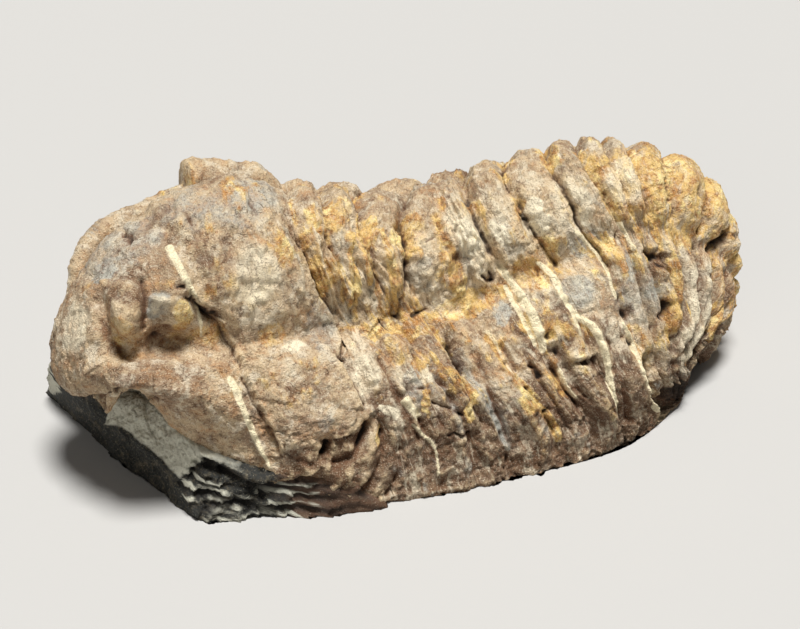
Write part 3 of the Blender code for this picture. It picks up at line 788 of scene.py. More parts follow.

# %% [markdown]
# Between the rings lie the grooves, deep where clay was dug out of them, ochre where it was left,
# and darkened along their middles by painted shade.

# %% Grooves between the rings
TRENCHES = {
    # name: half widths at both ends, depth, stain and its strength, points
    "head and ring 1": ((4, 3), 0.6, "ochre", 0.4, (
        (286, 204), (294, 235), (305, 255), (316, 285), (330, 305), (342, 328))),
    "ring 1 and 2": ((3, 2.5), 0.5, "ochre", 0.8, (
        (322, 200), (328, 220), (335, 250), (342, 285), (346, 315))),
    "ring 2 and 3": ((3, 2.5), 0.5, "ochre", 0.8, (
        (358, 208), (362, 230), (372, 262), (380, 300), (388, 322))),
    "ring 1 line": ((2, 2), 0.4, "rust", 0.5, ((327, 222), (330, 245), (331, 268), (334, 290))),
    "ring 3 line": ((2, 2), 0.4, "rust", 0.6, (
        (366, 218), (372, 238), (376, 262), (380, 284), (388, 300))),
    "dark gap": ((4, 3.5), 1.0, "rust", 0.7, (
        (398, 210), (403, 228), (407, 255), (408, 285), (404, 305), (405, 318))),
    "ochre trough": ((5, 4), 0.7, "ochre", 1, (
        (432, 205), (440, 228), (450, 252), (459, 275), (466, 292))),
    "green trough": ((5, 4), 1.0, "grey", 0.6, (
        (460, 188), (470, 210), (480, 230), (488, 246), (496, 262))),
    "ring 6 and 7": ((4, 3), 1.0, "ochre", 0.9, (
        (505, 176), (518, 198), (530, 220), (541, 240), (552, 258), (562, 272))),
    "ring 8 and 9": ((5, 4), 0.7, "ochre", 1, ((585, 152), (598, 172), (608, 195), (616, 218))),
    "ring 9 and 10": ((4, 3), 0.6, "ochre", 0.8, ((615, 152), (624, 175), (628, 200), (630, 222))),
    "red trough": ((2.5, 2.5), 0.7, "rust", 0.8, ((638, 155), (645, 180), (646, 200), (645, 224))),
    "red trough 2": ((2.5, 2.5), 0.7, "rust", 0.7, ((664, 160), (675, 178), (677, 200), (676, 228))),
    "dark trough": ((3.5, 3), 1.0, "rust", 0.6, ((700, 182), (709, 200), (709, 218), (703, 238))),
    "tail notch": ((4, 3), 1.4, "dark", 1, ((730, 228), (723, 242), (714, 254))),
    "grey rib front": ((4, 3), 1.1, "rust", 0.4, (
        (446, 322), (450, 342), (456, 357), (466, 375), (477, 398))),
    "ochre rib back": ((2.5, 2), 0.6, "rust", 0.6, ((500, 340), (509, 356), (520, 372))),
    "white rib back": ((8, 3), 1.3, "purple", 0.6, ((552, 342), (565, 362), (578, 382), (595, 403))),
    "oval front": ((4, 4), 0.4, "rust", 0.8, (
        (101, 312), (105, 328), (113, 344), (128, 354), (146, 350))),
    "oval back": ((2.6, 2.6), 1.0, "rust", 0.9, ((140, 276), (143, 295), (144, 315), (142, 335))),
    "head furrow": ((6, 6), 0.7, "ochre", 0.5, (
        (110, 342), (124, 352), (150, 349), (180, 340), (205, 344))),
    "rim valley": ((7, 6), 0.5, "ochre", 0.25, (
        (82, 288), (104, 262), (128, 238), (160, 218), (182, 204))),
}
for width, depth, colour, strength, points in TRENCHES.values():
    groove(width, depth, colour, strength, points)
print("grooves:", len(TRENCHES))

# %% [markdown]
# The grooves on the flank and the tail are narrow and steady and hold rusty dirt. A smooth line
# would look drawn, so they are shaken too, but less than the marks on the back.

# %% Grooves on the flank
FLANK_GROOVES = {
    # name: half widths at both ends, depth, points
    "tail outer": ((3.2, 3), 1.0, ((726, 262), (729, 290), (727, 315), (719, 335), (706, 353))),
    "tail second": ((3.6, 3.6), 1.5, (
        (716, 252), (718, 280), (717, 305), (713, 325), (703, 341), (694, 357), (684, 376))),
    "tail third": ((3.4, 3.4), 1.3, (
        (699, 238), (700, 270), (700, 300), (697, 322), (690, 341), (681, 358), (671, 372))),
    "tail fourth": ((3, 3), 1.0, ((681, 258), (684, 285), (682, 310), (678, 330), (670, 345))),
    "flank first": ((2.6, 2), 0.8, ((376, 352), (386, 372), (396, 392), (412, 424), (424, 446))),
    "flank second": ((2.6, 2), 0.8, ((410, 345), (420, 366), (428, 388), (436, 410), (444, 432))),
    "flank third": ((2.6, 2), 0.9, ((447, 328), (454, 350), (464, 378), (473, 405), (486, 432))),
    "flank fourth": ((2.6, 2), 0.8, ((474, 350), (484, 376), (493, 402), (503, 428), (512, 452))),
    "flank fifth": ((2.8, 2), 0.9, ((520, 345), (533, 368), (546, 392), (560, 412), (572, 436))),
    "flank sixth": ((2.6, 2), 0.8, ((552, 360), (566, 384), (580, 408), (590, 432))),
    "flank seventh": ((2.4, 2), 0.7, ((602, 330), (616, 356), (624, 384), (630, 410), (634, 428))),
    "corner": ((4, 4), 1.3, ((326, 463), (342, 459), (354, 450), (363, 436), (369, 416))),
    "fold first": ((3, 3), 1.0, ((381, 424), (382, 450), (372, 476), (352, 496))),
    "fold second": ((2.6, 2.6), 0.8, ((399, 434), (401, 458), (395, 482), (382, 500))),
    "front second": ((1.6, 1.6), 0.6, ((353, 258), (353, 280), (354, 300), (355, 322))),
    "front third": ((1.6, 1.6), 0.6, ((387, 255), (391, 280), (394, 300), (396, 320))),
    "front gap": ((2, 2), 0.6, ((401, 213), (405, 240), (408, 270), (408, 300), (409, 318))),
}
for width, depth, points in FLANK_GROOVES.values():
    groove(width, depth, "rust", 0.8, points, steady_shown)
print("grooves on the flank:", len(FLANK_GROOVES))

# %% [markdown]
# Where a sheet of stone broke, its edge stands over what lies in front of it. The longest such edge
# crosses the head: the thick rear band ends in it, over a black gap.

# %% Broken edges
LIPS = {
    # name: high side (1 right of the line, -1 left), height, how far it dies away behind,
    # drop, how far it dies away ahead, points
    "step crack": (1, 0.7, 26, 1.5, 6, (
        (188, 286), (195, 297), (201, 306), (209, 315), (220, 324), (230, 340))),
    "step below": (1, 0.7, 30, 0.9, 6, (
        (224, 330), (233, 346), (242, 364), (251, 387), (262, 412), (275, 438), (288, 462))),
    "band rear": (-1, 0.5, 20, 1.1, 7, (
        (284, 214), (291, 236), (303, 252), (313, 284), (325, 302), (336, 322), (341, 340), (339, 362),
        (352, 386), (362, 404), (374, 424))),
    "ring 7 over 8": (1, 0.4, 12, 1.0, 4, (
        (551, 160), (563, 180), (576, 203), (582, 226), (592, 240), (602, 253), (613, 270))),
    "cliff": (-1, 0.4, 15, 2.6, 12, (
        (648, 345), (645, 366), (646, 384), (653, 398), (659, 408), (658, 432))),
    "cheek edge": (1, 0.5, 20, 1.2, 12, (
        (196, 455), (220, 465), (240, 477), (262, 484), (285, 482), (305, 474), (322, 464))),
    "band corner": (1, 0.4, 14, 0.5, 6, ((330, 440), (346, 434), (362, 424), (378, 410))),
    "broken panel": (1, 0.5, 12, 0.9, 5, ((565, 358), (578, 361), (590, 359), (602, 354))),
}
for side, height, behind, drop, ahead, points in LIPS.values():
    lip(side, height, behind, drop, ahead, points)
print("broken edges:", len(LIPS))

# %% [markdown]
# Cracks are the thinnest marks. They could be bump alone, but a crack with real depth keeps its
# shadow in any light.

# %% Cracks
CRACKS = {
    # name: half width, depth, points
    "glabella": (1.3, 0.4, ((122, 271), (129, 270), (136, 267), (141, 272), (146, 274))),
    "by the stick": (1.3, 0.4, ((173, 288), (178, 286), (184, 286))),
    "by the stick 2": (1.2, 0.4, ((184, 295), (188, 300), (193, 299))),
    "ring 5": (1.2, 0.4, ((412, 317), (420, 311), (430, 309))),
    "ring 4": (1.2, 0.4, ((383, 318), (388, 324), (393, 330))),
    "ring 5 top": (1.2, 0.3, ((423, 242), (428, 240), (434, 238))),
    "flank": (1.5, 0.5, ((432, 404), (445, 407), (456, 411), (466, 415))),
    "flank 2": (1.3, 0.4, ((445, 436), (452, 431), (464, 434), (475, 431))),
    "cheek": (1.8, 0.6, ((108, 388), (120, 389), (132, 390), (146, 396), (160, 400))),
    "slit": (2.4, 1.2, ((668, 176), (669, 188), (673, 203))),
    "tail slit": (2.4, 1.2, ((668, 300), (664, 310), (660, 322))),
    "knot": (1.5, 0.6, ((482, 277), (490, 282), (497, 281))),
    "low line": (1.3, 0.4, ((510, 455), (508, 462), (502, 472))),
    "ring 6": (1.3, 0.4, ((482, 187), (486, 182), (492, 182))),
    "ochre rib notch": (2, 0.6, ((528, 365), (535, 366), (542, 378))),
}
for width, depth, points in CRACKS.values():
    crack(width, depth, points)
print("cracks:", len(CRACKS))

# %% [markdown]
# Pits and hollows are ellipses: a place, two half widths and a turn, all in the picture. They could be
# cut with a Boolean modifier, which leaves a sharp rim. A fade of the distance gives a worn one. The
# dark stain in each is painted shade.

# %% Hollows
SHAKE_OF_RIMS = 2.4
HOLLOW_DEPTH = 0.6


def ellipse(x, y, half_across, half_down, turn):
    """Distance from an ellipse's middle, 1 at its edge: the offset, turned, over each half width."""
    close = np.abs(shown - (x, y)) < 2.2 * max(half_across, half_down)
    near = np.nonzero(in_view & close.all(-1))[0]
    offset = shown[near] + SHAKE_OF_RIMS * shake[near] - (x, y)
    angle = np.radians(turn)
    right = (offset[:, 0] * np.cos(angle) + offset[:, 1] * np.sin(angle)) / half_across
    down = (offset[:, 1] * np.cos(angle) - offset[:, 0] * np.sin(angle)) / half_down
    return near, np.hypot(right, down)


HOLLOWS = (
    # x, y, half across, half down, turn, depth, painted shade
    (122, 238, 5, 7, 20, 1.0, 0.9), (70, 280, 7, 4, -25, 0.8, 0.8), (162, 334, 20, 7, -12, 1.0, 0.4),
    (210, 313, 14, 4.5, 43, 1.8, 1.2), (188, 218, 6, 3, 45, 0.4, 0.7), (338, 362, 6, 4, 30, 1.0, 1),
    (322, 451, 7, 13, 0, 3.2, 1.4), (360, 441, 10, 7, -30, 0.8, 0.6), (308, 462, 9, 4, 0, 0.6, 0.6),
    (102, 401, 11, 7, -15, 1.2, 0.9), (405, 318, 5, 4, 0, 0.9, 1), (493, 279, 6, 4, 10, 0.7, 0.9),
    (655, 256, 13, 6, 0, 2.2, 1.3), (660, 265, 9, 4, 20, 1.2, 1.2), (663, 311, 3, 10, 15, 0.8, 0.8),
    (675, 348, 9, 7, 0, 1.0, 0.8), (681, 376, 4, 6, 0, 1.0, 1), (628, 310, 9, 7, 0, 0.5, 0.9),
    (550, 339, 7, 5, 20, 1.2, 1), (589, 364, 8, 6, 30, 1.0, 0.95), (713, 276, 3, 6, 10, 0.6, 0.9),
    (626, 337, 4, 3, 0, 0.5, 0.9), (635, 341, 3, 3, 0, 0.5, 0.9), (654, 328, 3, 3, 0, 0.5, 0.9),
    (536, 272, 5, 3, 40, 0.5, 0.8), (591, 268, 6, 2.5, 35, 0.5, 0.6), (548, 412, 5, 4, 0, 0.7, 1),
    (424, 389, 5, 3, 0, 0.6, 0.9), (619, 236, 2.5, 5, 0, 0.4, 0.6), (449, 195, 3, 4, 30, 0.4, 0.9),
    (280, 491, 34, 9, 6, 1.6, 0.75),
)
for *oval, depth_here, dark in HOLLOWS:
    near, distance = ellipse(*oval)
    relief[near] -= HOLLOW_DEPTH * depth_here * (1 - fade(distance, 0.2, 1.4))
    # painted shade in the hollow
    stain("dark", near, 0.75 * dark * (1 - fade(distance, 0.3, 1.0)))
    stain("rust", near, 0.6 * (1 - fade(distance, 0.6, 1.7)))
print("hollows:", len(HOLLOWS))

# %% [markdown]
# Stains that follow no groove lie in ovals too. Where several of one stain overlap, the strongest
# counts, so their order doesn't matter. The same shaken distance frays their edges.

# %% Stained patches
PATCHES = {
    # stain: x, y, half across, half down, turn, strength
    "ochre": (
        (320, 275, 12, 24, -10, 0.9), (312, 222, 10, 20, -10, 0.8), (366, 258, 7, 18, -15, 0.8),
        (390, 330, 52, 7, 0, 0.85), (462, 306, 40, 12, -20, 0.95), (525, 272, 14, 18, 0, 0.8),
        (570, 208, 12, 22, -20, 0.9), (608, 190, 11, 28, -12, 0.85), (655, 198, 7, 18, 0, 0.9),
        (690, 203, 10, 22, 0, 0.9), (720, 215, 8, 24, 0, 0.6), (670, 312, 8, 32, 0, 0.9),
        (524, 398, 14, 14, 30, 0.9), (428, 405, 4, 18, 0, 0.9), (470, 409, 5, 10, 0, 0.8),
        (645, 350, 9, 20, -10, 0.6), (272, 332, 18, 14, 0, 0.6), (210, 335, 22, 12, 0, 0.6),
        (122, 325, 12, 18, 0, 0.55), (184, 315, 10, 20, 0, 0.7), (110, 222, 40, 14, -38, 0.35),
        (108, 418, 4, 5, 0, 1), (640, 180, 40, 34, 0, 0.95), (478, 215, 8, 26, -20, 0.8),
        (450, 270, 12, 26, -10, 0.8), (545, 235, 8, 26, -25, 0.8), (408, 230, 20, 16, 0, 0.7),
        (340, 215, 20, 14, 0, 0.7), (500, 345, 6, 14, 30, 0.8), (452, 345, 5, 16, -15, 0.9),
        (470, 392, 5, 14, -20, 0.8), (395, 350, 7, 14, -20, 0.8), (560, 378, 7, 16, -25, 0.9),
        (638, 330, 6, 14, -20, 0.8), (380, 440, 4, 14, 0, 0.7), (590, 330, 6, 14, -20, 0.7),
        (620, 165, 30, 16, 0, 0.8), (690, 180, 40, 30, 0, 0.7), (250, 290, 30, 20, 0, 0.5),
    ),
    "grey": (
        (158, 305, 13, 15, 0, 1), (104, 270, 20, 10, -40, 1), (343, 243, 9, 18, -10, 0.9),
        (376, 288, 9, 26, -15, 0.9), (424, 272, 12, 18, -10, 0.9), (466, 262, 8, 20, -20, 0.6),
        (510, 240, 12, 30, -20, 0.8), (580, 235, 22, 22, 0, 0.7), (605, 190, 12, 30, -10, 0.4),
        (578, 295, 22, 18, 0, 0.8), (628, 262, 10, 18, -10, 0.9), (652, 288, 8, 16, 0, 1),
        (500, 315, 14, 14, 0, 0.8), (415, 372, 12, 14, 0, 0.8), (330, 320, 10, 20, 0, 0.6),
        (120, 250, 60, 24, -35, 0.5), (215, 215, 60, 24, 0, 0.5), (250, 200, 30, 16, 0, 0.6),
        (315, 330, 14, 40, -10, 0.5), (420, 385, 20, 24, 0, 0.6), (348, 300, 8, 30, 0, 0.6),
        (640, 300, 30, 30, 0, 0.5),
    ),
    "cream": (
        (536, 216, 11, 19, -25, 1.3), (500, 232, 10, 14, -20, 1), (75, 330, 18, 26, 0, 0.6),
        (365, 375, 16, 26, 0, 0.65), (388, 408, 7, 7, 40, 0.9), (427, 360, 4, 2, 0, 1),
        (292, 350, 12, 11, 0, 0.7), (286, 374, 12, 10, 0, 0.5), (466, 240, 8, 22, -20, 0.8),
        (250, 245, 28, 14, 0, 0.35), (78, 325, 20, 26, 0, 0.6), (252, 275, 32, 34, 0, 0.62),
        (470, 235, 22, 36, -20, 0.6), (572, 205, 26, 36, -20, 0.6), (625, 180, 26, 32, 0, 0.62),
        (158, 304, 9, 11, 0, 0.65), (428, 372, 9, 14, -15, 0.7), (524, 300, 8, 14, -20, 0.6),
        (255, 300, 34, 40, 20, 0.4), (560, 210, 12, 40, -25, 0.5), (505, 195, 8, 30, -15, 0.5),
        (690, 290, 10, 60, 0, 0.3),
    ),
    "rust": (
        (660, 262, 20, 14, 0, 1), (125, 295, 20, 22, 0, 0.5), (685, 392, 16, 16, 0, 0.9),
        (345, 460, 22, 30, 0, 0.6), (405, 470, 16, 24, 0, 0.4),
    ),
    # the ovals low on the near flank are partly painted shade, darker towards the foot
    "purple": (
        (170, 385, 60, 30, 20, 0.4), (230, 430, 50, 26, 30, 0.4), (330, 470, 60, 30, 0, 0.7),
        (558, 322, 16, 34, -25, 1), (600, 335, 14, 18, -20, 0.9), (590, 385, 26, 30, -20, 1),
        (632, 385, 14, 36, -10, 1), (520, 330, 10, 24, -20, 0.7), (110, 375, 24, 16, 0, 0.5),
        (704, 372, 26, 26, 0, 0.8), (350, 465, 40, 34, 0, 1), (410, 460, 50, 34, 0, 1),
        (480, 445, 50, 34, -10, 1), (550, 430, 50, 34, -15, 1), (615, 410, 40, 30, -20, 0.9),
        (210, 235, 60, 40, 0, 0.35), (225, 175, 40, 14, 0, 0.3), (130, 300, 24, 36, 0, 0.5),
    ),
    # the first oval is partly the lump's own light colour and partly painted light on a face that turns
    # away from the sun
    "fresh_and_lit": (
        (51, 376, 13, 17, 0, 1), (75, 405, 22, 8, 35, 0.35),
    ),
    # painted shadow under the cliff at the tail's foot
    "dark": (
        (682, 396, 18, 14, 0, 0.9), (668, 422, 10, 16, 0, 0.8),
    ),
}
for name, patches in PATCHES.items():
    for *oval, strength in patches:
        near, distance = ellipse(*oval)
        stain(name, near, strength * (1 - fade(distance, 0.6, 1.3)))
print("patches:", {name: len(patches) for name, patches in PATCHES.items()})

# %% [markdown]
# The chunk was split off with a chisel. Its upper face is a fresh, light grey-green plane with a
# creased front edge, the side that looks away from the light is nearly black, and to the right the
# thin beds of the mudstone break off in steps, painted highlights on their edges over painted shade
# in the gaps, and grow dirty. The faces are outlined in the picture. The beds are a saw of the
# height, bent by noise, so they also run on round the sides that the photo doesn't show.

# %% Outlines on the chunk
FRESH_FACE = (
    (112, 396), (132, 393), (158, 401), (172, 420), (190, 440), (212, 458), (202, 466), (180, 475),
    (166, 458), (150, 442), (130, 428), (106, 424))
BROKEN_END = ((176, 476), (202, 456), (240, 460), (290, 474), (335, 484), (345, 524), (205, 530))


def inside(outline, places):
    """Even-odd rule: inside, if a line to the right crosses the outline an odd number of times."""
    start = np.array(outline, float)
    stop = np.roll(start, -1, axis=0)
    across_place, down_place = places[:, :1], places[:, 1:]
    straddles = (start[:, 1] > down_place) != (stop[:, 1] > down_place)
    slope = (stop[:, 0] - start[:, 0]) / (stop[:, 1] - start[:, 1] + 1e-9)
    crossing = start[:, 0] + slope * (down_place - start[:, 1])
    return (straddles & (across_place < crossing)).sum(1) % 2 == 1


def blurred(values, times):
    """Mean of each point and its four neighbours, over and over; columns wrap round the stone."""
    for _ in range(times):
        rows = np.concatenate((values[:1], values[:-1])) + np.concatenate((values[1:], values[-1:]))
        values = (2 * values + rows + np.roll(values, 1, axis=1) + np.roll(values, -1, axis=1)) / 6
    return values


def soft_share(chosen, times):
    """The chunk's chosen points as numbers, 1 or 0, with the edge between them blurred."""
    return blurred(chosen.reshape(chunk.shape[:2]).astype(float), times).ravel()


chunk_points = np.arange(body_size, len(plain))
place_here = plain[chunk_points]
seen_here = in_view[chunk_points]
fresh_face = soft_share(inside(FRESH_FACE, steady_shown[chunk_points]) & seen_here, 9)
broken_end = soft_share(inside(BROKEN_END, steady_shown[chunk_points]) & seen_here, 9)
unseen = 1 - soft_share(seen_here, 6)
level = fade(outward(chunk)[..., 2].ravel(), 0.5, 0.8)
print("share of the chunk that is fresh:", round(fresh_face.mean(), 3))

# %% Beds
BED_THICKNESS, BED_RELIEF = 1.1, 0.3
LIGHT_ENDS = (-29, -20)
DIRT_STARTS = (-24, -17)

bed = place_here[:, 2] / BED_THICKNESS + 0.7 * lattice(place_here, 7, 122)
bed = bed + 0.5 * rough(place_here, 2.6, 123)
bed_edge = fade(np.abs(np.mod(bed, 1) - 0.5), 0.1, 0.4)
bedded = np.maximum(broken_end, 0.6 * unseen) * (1 - level)
splinters = 0.35 * broken_end * chips(place_here, 1.4, 125)
relief[chunk_points] += bedded * (BED_RELIEF * bed_edge - BED_RELIEF) + splinters
left_part = 1 - 0.85 * fade(place_here[:, 0] + 2 * lattice(place_here, 2.5, 126), *LIGHT_ENDS)
# partly painted light: every upward face takes the light colour, besides the fresh face's own colour
stain("fresh_and_lit", chunk_points, np.maximum(fresh_face, 0.8 * level) * left_part)
lit_beds = bedded * bed_edge * fade(rough(place_here, 3, 124), -0.4, 0.6)
stain("fresh_and_lit", chunk_points, 0.9 * lit_beds)
# painted shade between the bed edges
stain("dark", chunk_points, 0.45 * broken_end * (1 - bed_edge) * vary[chunk_points])

dirt = fade(place_here[:, 0], *DIRT_STARTS)
dirty_side = dirt * (1 - level)
relief[chunk_points] += dirty_side * (0.6 * chips(place_here, 2.4, 127) + BED_RELIEF * (bed_edge - 1))
stain("purple", chunk_points, np.maximum(dirt * (0.6 + 0.4 * vary[chunk_points]), 0.6 * unseen))
# painted shade in the gaps between the beds, and dirt that varies at random
gap_shade_and_dirt = 0.6 * (1 - bed_edge) + 0.5 * fade(rough(place_here, 2.5, 128), 0, 0.6)
stain("dark", chunk_points, dirty_side * gap_shade_and_dirt)
print("share of the chunk that shows beds:", round(bedded.mean(), 3))

# %% Edges and gaps of the beds
FRESH_EDGE = ((103, 424), (124, 428), (148, 443), (166, 460), (181, 477), (192, 500), (205, 524))
FRESH_EDGE_HEIGHT, FRESH_EDGE_WIDTH = 1.1, 14
BED_EDGE_HIGHLIGHT = 0.6
BEDS = (
    # half widths at both ends, height, strength of the painted highlight, points
    ((2.5, 2), 0.5, 0.75, ((184, 481), (200, 486), (218, 490), (236, 496), (256, 501), (276, 509))),
    ((2.5, 1.5), 0.5, 0.6, ((222, 477), (240, 484), (258, 490))),
    ((2, 1.5), 0.4, 0.6, ((186, 492), (206, 500), (222, 504))),
    ((2.5, 2), 0.5, 0.8, ((200, 513), (216, 511), (232, 513), (252, 510))),
    ((3, 2), 0.4, 0.9, ((201, 517), (214, 526), (232, 521), (254, 517))),
    ((1.6, 1.2), 0.4, 0.7, ((264, 521), (290, 519), (318, 519), (340, 520))),
    ((1.6, 1.2), 0.4, 0.5, ((264, 506), (284, 503), (300, 506))),
)
GAPS = (
    # half widths at both ends, depth, strength of the painted shade, points
    ((3.5, 2.5), 1.0, 0.6, ((186, 474), (200, 470), (216, 470), (230, 475), (246, 482))),
    ((3, 2.5), 1.0, 0.9, ((190, 487), (212, 495), (236, 503), (262, 508))),
    ((3, 2), 0.8, 0.9, ((196, 506), (220, 507), (246, 504), (262, 512))),
    ((2, 2), 0.8, 0.9, ((258, 514), (290, 511), (330, 512))),
)

near, distance, progress, _ = trace(FRESH_EDGE, steady_shown)
crest = FRESH_EDGE_HEIGHT * ends(progress) * np.exp(-distance / FRESH_EDGE_WIDTH)
relief[near] += crest * (near >= body_size)
for width, height, strength, points in BEDS:
    ridge(width, height, "fresh_and_lit", BED_EDGE_HIGHLIGHT * strength, points)
for width, depth, strength, points in GAPS:
    groove(width, depth, "dark", strength, points)
print("edges of beds:", len(BEDS), "gaps:", len(GAPS))

# %% [markdown]
# ## Grain and breakage
#
# The last relief is random: soft lumps, flat chips where the matrix was picked off, small pits and
# fine grain. It is strongest low on the flanks, which were never cleaned, and on the broken chunk.
# Bump in the material would be cheaper, but it leaves the outline smooth, and the shape alone,
# without its material, would show none of it.

# %% Grain
PIT_DEPTH = 0.3
STREAK_HEIGHT, RING_STREAK_HEIGHT = 0.2, 0.5

unclean = np.clip(fade(reach, 0.55, 0.85) * (station > 4) + (1 - on_back) + 0.2, 0, 1)
unclean = np.concatenate((unclean.ravel(), bare_chunk + 0.9))
smooth_tail = np.concatenate(((on_back * fade(station, 15, 18)).ravel(), bare_chunk))
layers = (
    # height, noise, its part where clean and where unclean, and the part that the tail loses
    (0.30, lattice(plain, 7, 61), 1, 1, 0.4),
    (0.26, chips(plain, 4.5, 71), 0.6, 0.9, 0.7),
    (0.17, chips(plain, 1.7, 81), 0.5, 1.1, 0.5),
    (0.13, rough(plain, 0.95, 91, 4, 0.7), 0.75, 1.3, 0.3),
)
for height, noise, where_clean, where_unclean, lost in layers:
    relief += height * noise * mix(where_clean, where_unclean, unclean) * (1 - lost * smooth_tail)

front_rings = on_axis * near_side * (1 - fade(count, 10, 12))
streak_height = mix(STREAK_HEIGHT, RING_STREAK_HEIGHT, front_rings) * (1 - 0.5 * fade(station, 15, 18))
relief[:body_size] += (streaks * streak_height).ravel()
small_pits = pits(plain, 2.0, 0.24, 0.4, 101)
relief -= PIT_DEPTH * small_pits
stains["dark"] = np.maximum(stains["dark"], 0.5 * small_pits)

skins = plain + directions * relief[:, None]
skins[:, 2] = np.maximum(skins[:, 2], 0)
print("skin, mm:", skins.min(0).round(1), skins.max(0).round(1))

# %% [markdown]
# Dirt stays in hollows, and hands rub what stands out; the dark in the hollows is also painted shade.
# The relief minus its own blurred copy tells which is which at the size of a ring.

# %% Hollow and raised places
BLUR_TIMES = 50


def as_grids(values):
    """The body's and the chunk's part of a list of values, each as rows by columns."""
    shape = values.shape[1:]
    return (values[:body_size].reshape(*body.shape[:2], *shape),
            values[body_size:].reshape(*chunk.shape[:2], *shape))


raised = np.concatenate([(grid - blurred(grid, BLUR_TIMES)).ravel() for grid in as_grids(relief)])
# painted shade and dirt: the hollows are darkened
stains["dark"] = np.clip(stains["dark"] + 0.55 * fade(-raised, 0.15, 0.85), 0, 1)
stains["worn"] = fade(raised, 0.05, 0.5)
stains["worn"][:body_size] += (0.6 * on_axis * in_segments * near_side).ravel()
print("hollow share:", (stains["dark"] > 0.5).mean().round(3))

# %% [markdown]
# ## From grid to mesh
#
# A stone is one piece, but a mesh may be split where the real thing has a groove, so that each part
# can be fine enough: head, two halves of the thorax, tail, and the chunk. Neighbours share a row of
# points, so no gap shows. Each is closed at both ends. Rows beyond the animal's two ends shrink its
# end sections towards their middles, so that the loft closes without long flat triangles.

# %% Close the animal's ends
END_ROWS = 14
END_ROUGHNESS = 0.5
CLEAR_OF_GROUND = 0.6


def with_plug(skin, marks, end):
    """Adds rows beyond the first (0) or last (-1) row, which shrink that row towards its middle."""
    edge = skin[end]
    heart = edge.mean(0)
    plug = heart + (edge - heart) * np.linspace(1, 0, END_ROWS + 1)[1:-1, None, None]
    lift = END_ROUGHNESS * rough(plug, 3, 111)[..., None] * (0, 0, 1)
    plug = plug + lift * (plug[..., 2:] > CLEAR_OF_GROUND)

    def joined(extra, own):
        return np.concatenate((own, extra) if end else (extra[::-1], own))

    marks = {key: joined(np.repeat(field[end][None], len(plug), axis=0), field)
             for key, field in marks.items()}
    return joined(plug, skin), marks


print("rows in each plug:", END_ROWS - 1)

# %% Make a closed mesh
def closed_piece(name, grid, marks):
    """Quads between neighbouring rows and columns, the columns wrapping, and a fan over each end."""
    rows, columns = grid.shape[:2]
    index = np.arange(rows * columns).reshape(rows, columns)
    beside = np.roll(index, -1, axis=1)
    quads = np.stack((index[:-1], index[1:], beside[1:], beside[:-1]), axis=-1).reshape(-1, 4)
    first, last = rows * columns, rows * columns + 1
    fans = np.concatenate((
        np.stack((np.full(columns, first), index[0], beside[0]), axis=-1),
        np.stack((np.full(columns, last), beside[-1], index[-1]), axis=-1)))
    vertices = np.concatenate((grid.reshape(-1, 3), grid[[0, -1]].mean(1)))
    corner_points = np.concatenate((quads.ravel(), fans.ravel()))
    sizes = np.concatenate((np.full(len(quads), 4), np.full(len(fans), 3)))
    starts = np.concatenate(((0,), np.cumsum(sizes)[:-1]))

    mesh = bpy.data.meshes.new(name)
    mesh.vertices.add(len(vertices))
    mesh.vertices.foreach_set("co", (vertices * MM).astype(np.float32).ravel())
    mesh.loops.add(len(corner_points))
    mesh.loops.foreach_set("vertex_index", corner_points.astype(np.int32))
    mesh.polygons.add(len(sizes))
    mesh.polygons.foreach_set("loop_start", starts.astype(np.int32))
    mesh.update(calc_edges=True)
    mesh.validate()
    for key, field in marks.items():
        layer = mesh.attributes.new(key, "FLOAT", "POINT")
        layer.data.foreach_set("value", np.append(field.ravel(), (0, 0)).astype(np.float32))
    mesh.shade_smooth()
    piece = bpy.data.objects.new(name, mesh)
    bpy.context.scene.collection.objects.link(piece)
    print(name, "triangles:", 2 * len(quads) + len(fans))
    return piece


# %% Five pieces
MIDDLE_GROOVE = 12

thorax_row = HEAD_ROWS
middle_row = HEAD_ROWS + (MIDDLE_GROOVE - HEAD_END) * ROWS_PER_SEGMENT
tail_row = HEAD_ROWS + (TAIL_START - HEAD_END) * ROWS_PER_SEGMENT
body_rows = {
    "head": slice(0, thorax_row + 1),
    "front_thorax": slice(thorax_row, middle_row + 1),
    "rear_thorax": slice(middle_row, tail_row + 1),
    "tail": slice(tail_row, None),
}
open_ends = {"head": 0, "tail": -1}

stains["row"] = np.concatenate((bent_count.ravel(), 2 * bed))
stains["side"] = np.concatenate((share.ravel(), turns.ravel()))
stains["fibrous"] = np.concatenate((streaked.ravel(), bedded))
body_skin, chunk_skin = as_grids(skins)
body_marks = {name: as_grids(field)[0] for name, field in stains.items()}
chunk_marks = {name: as_grids(field)[1] for name, field in stains.items()}

pieces = {}
for name, rows in body_rows.items():
    skin_here = body_skin[rows]
    marks_here = {key: field[rows] for key, field in body_marks.items()}
    if name in open_ends:
        skin_here, marks_here = with_plug(skin_here, marks_here, open_ends[name])
    pieces[name] = closed_piece(name, skin_here, marks_here)
pieces["matrix_chunk"] = closed_piece("matrix_chunk", chunk_skin, chunk_marks)
print("seconds so far:", round(time.time() - started, 1))

# %% [markdown]
# ## Materials as sums
#
# A stone's colour is a sum of masks, and a node graph for it is long. It reads better as Python: a
# small class wraps a socket, and its operators add Math nodes. A second class makes all other nodes
# by one method, and a finish is then a list of layers, each a mask and the colour that it lets in.

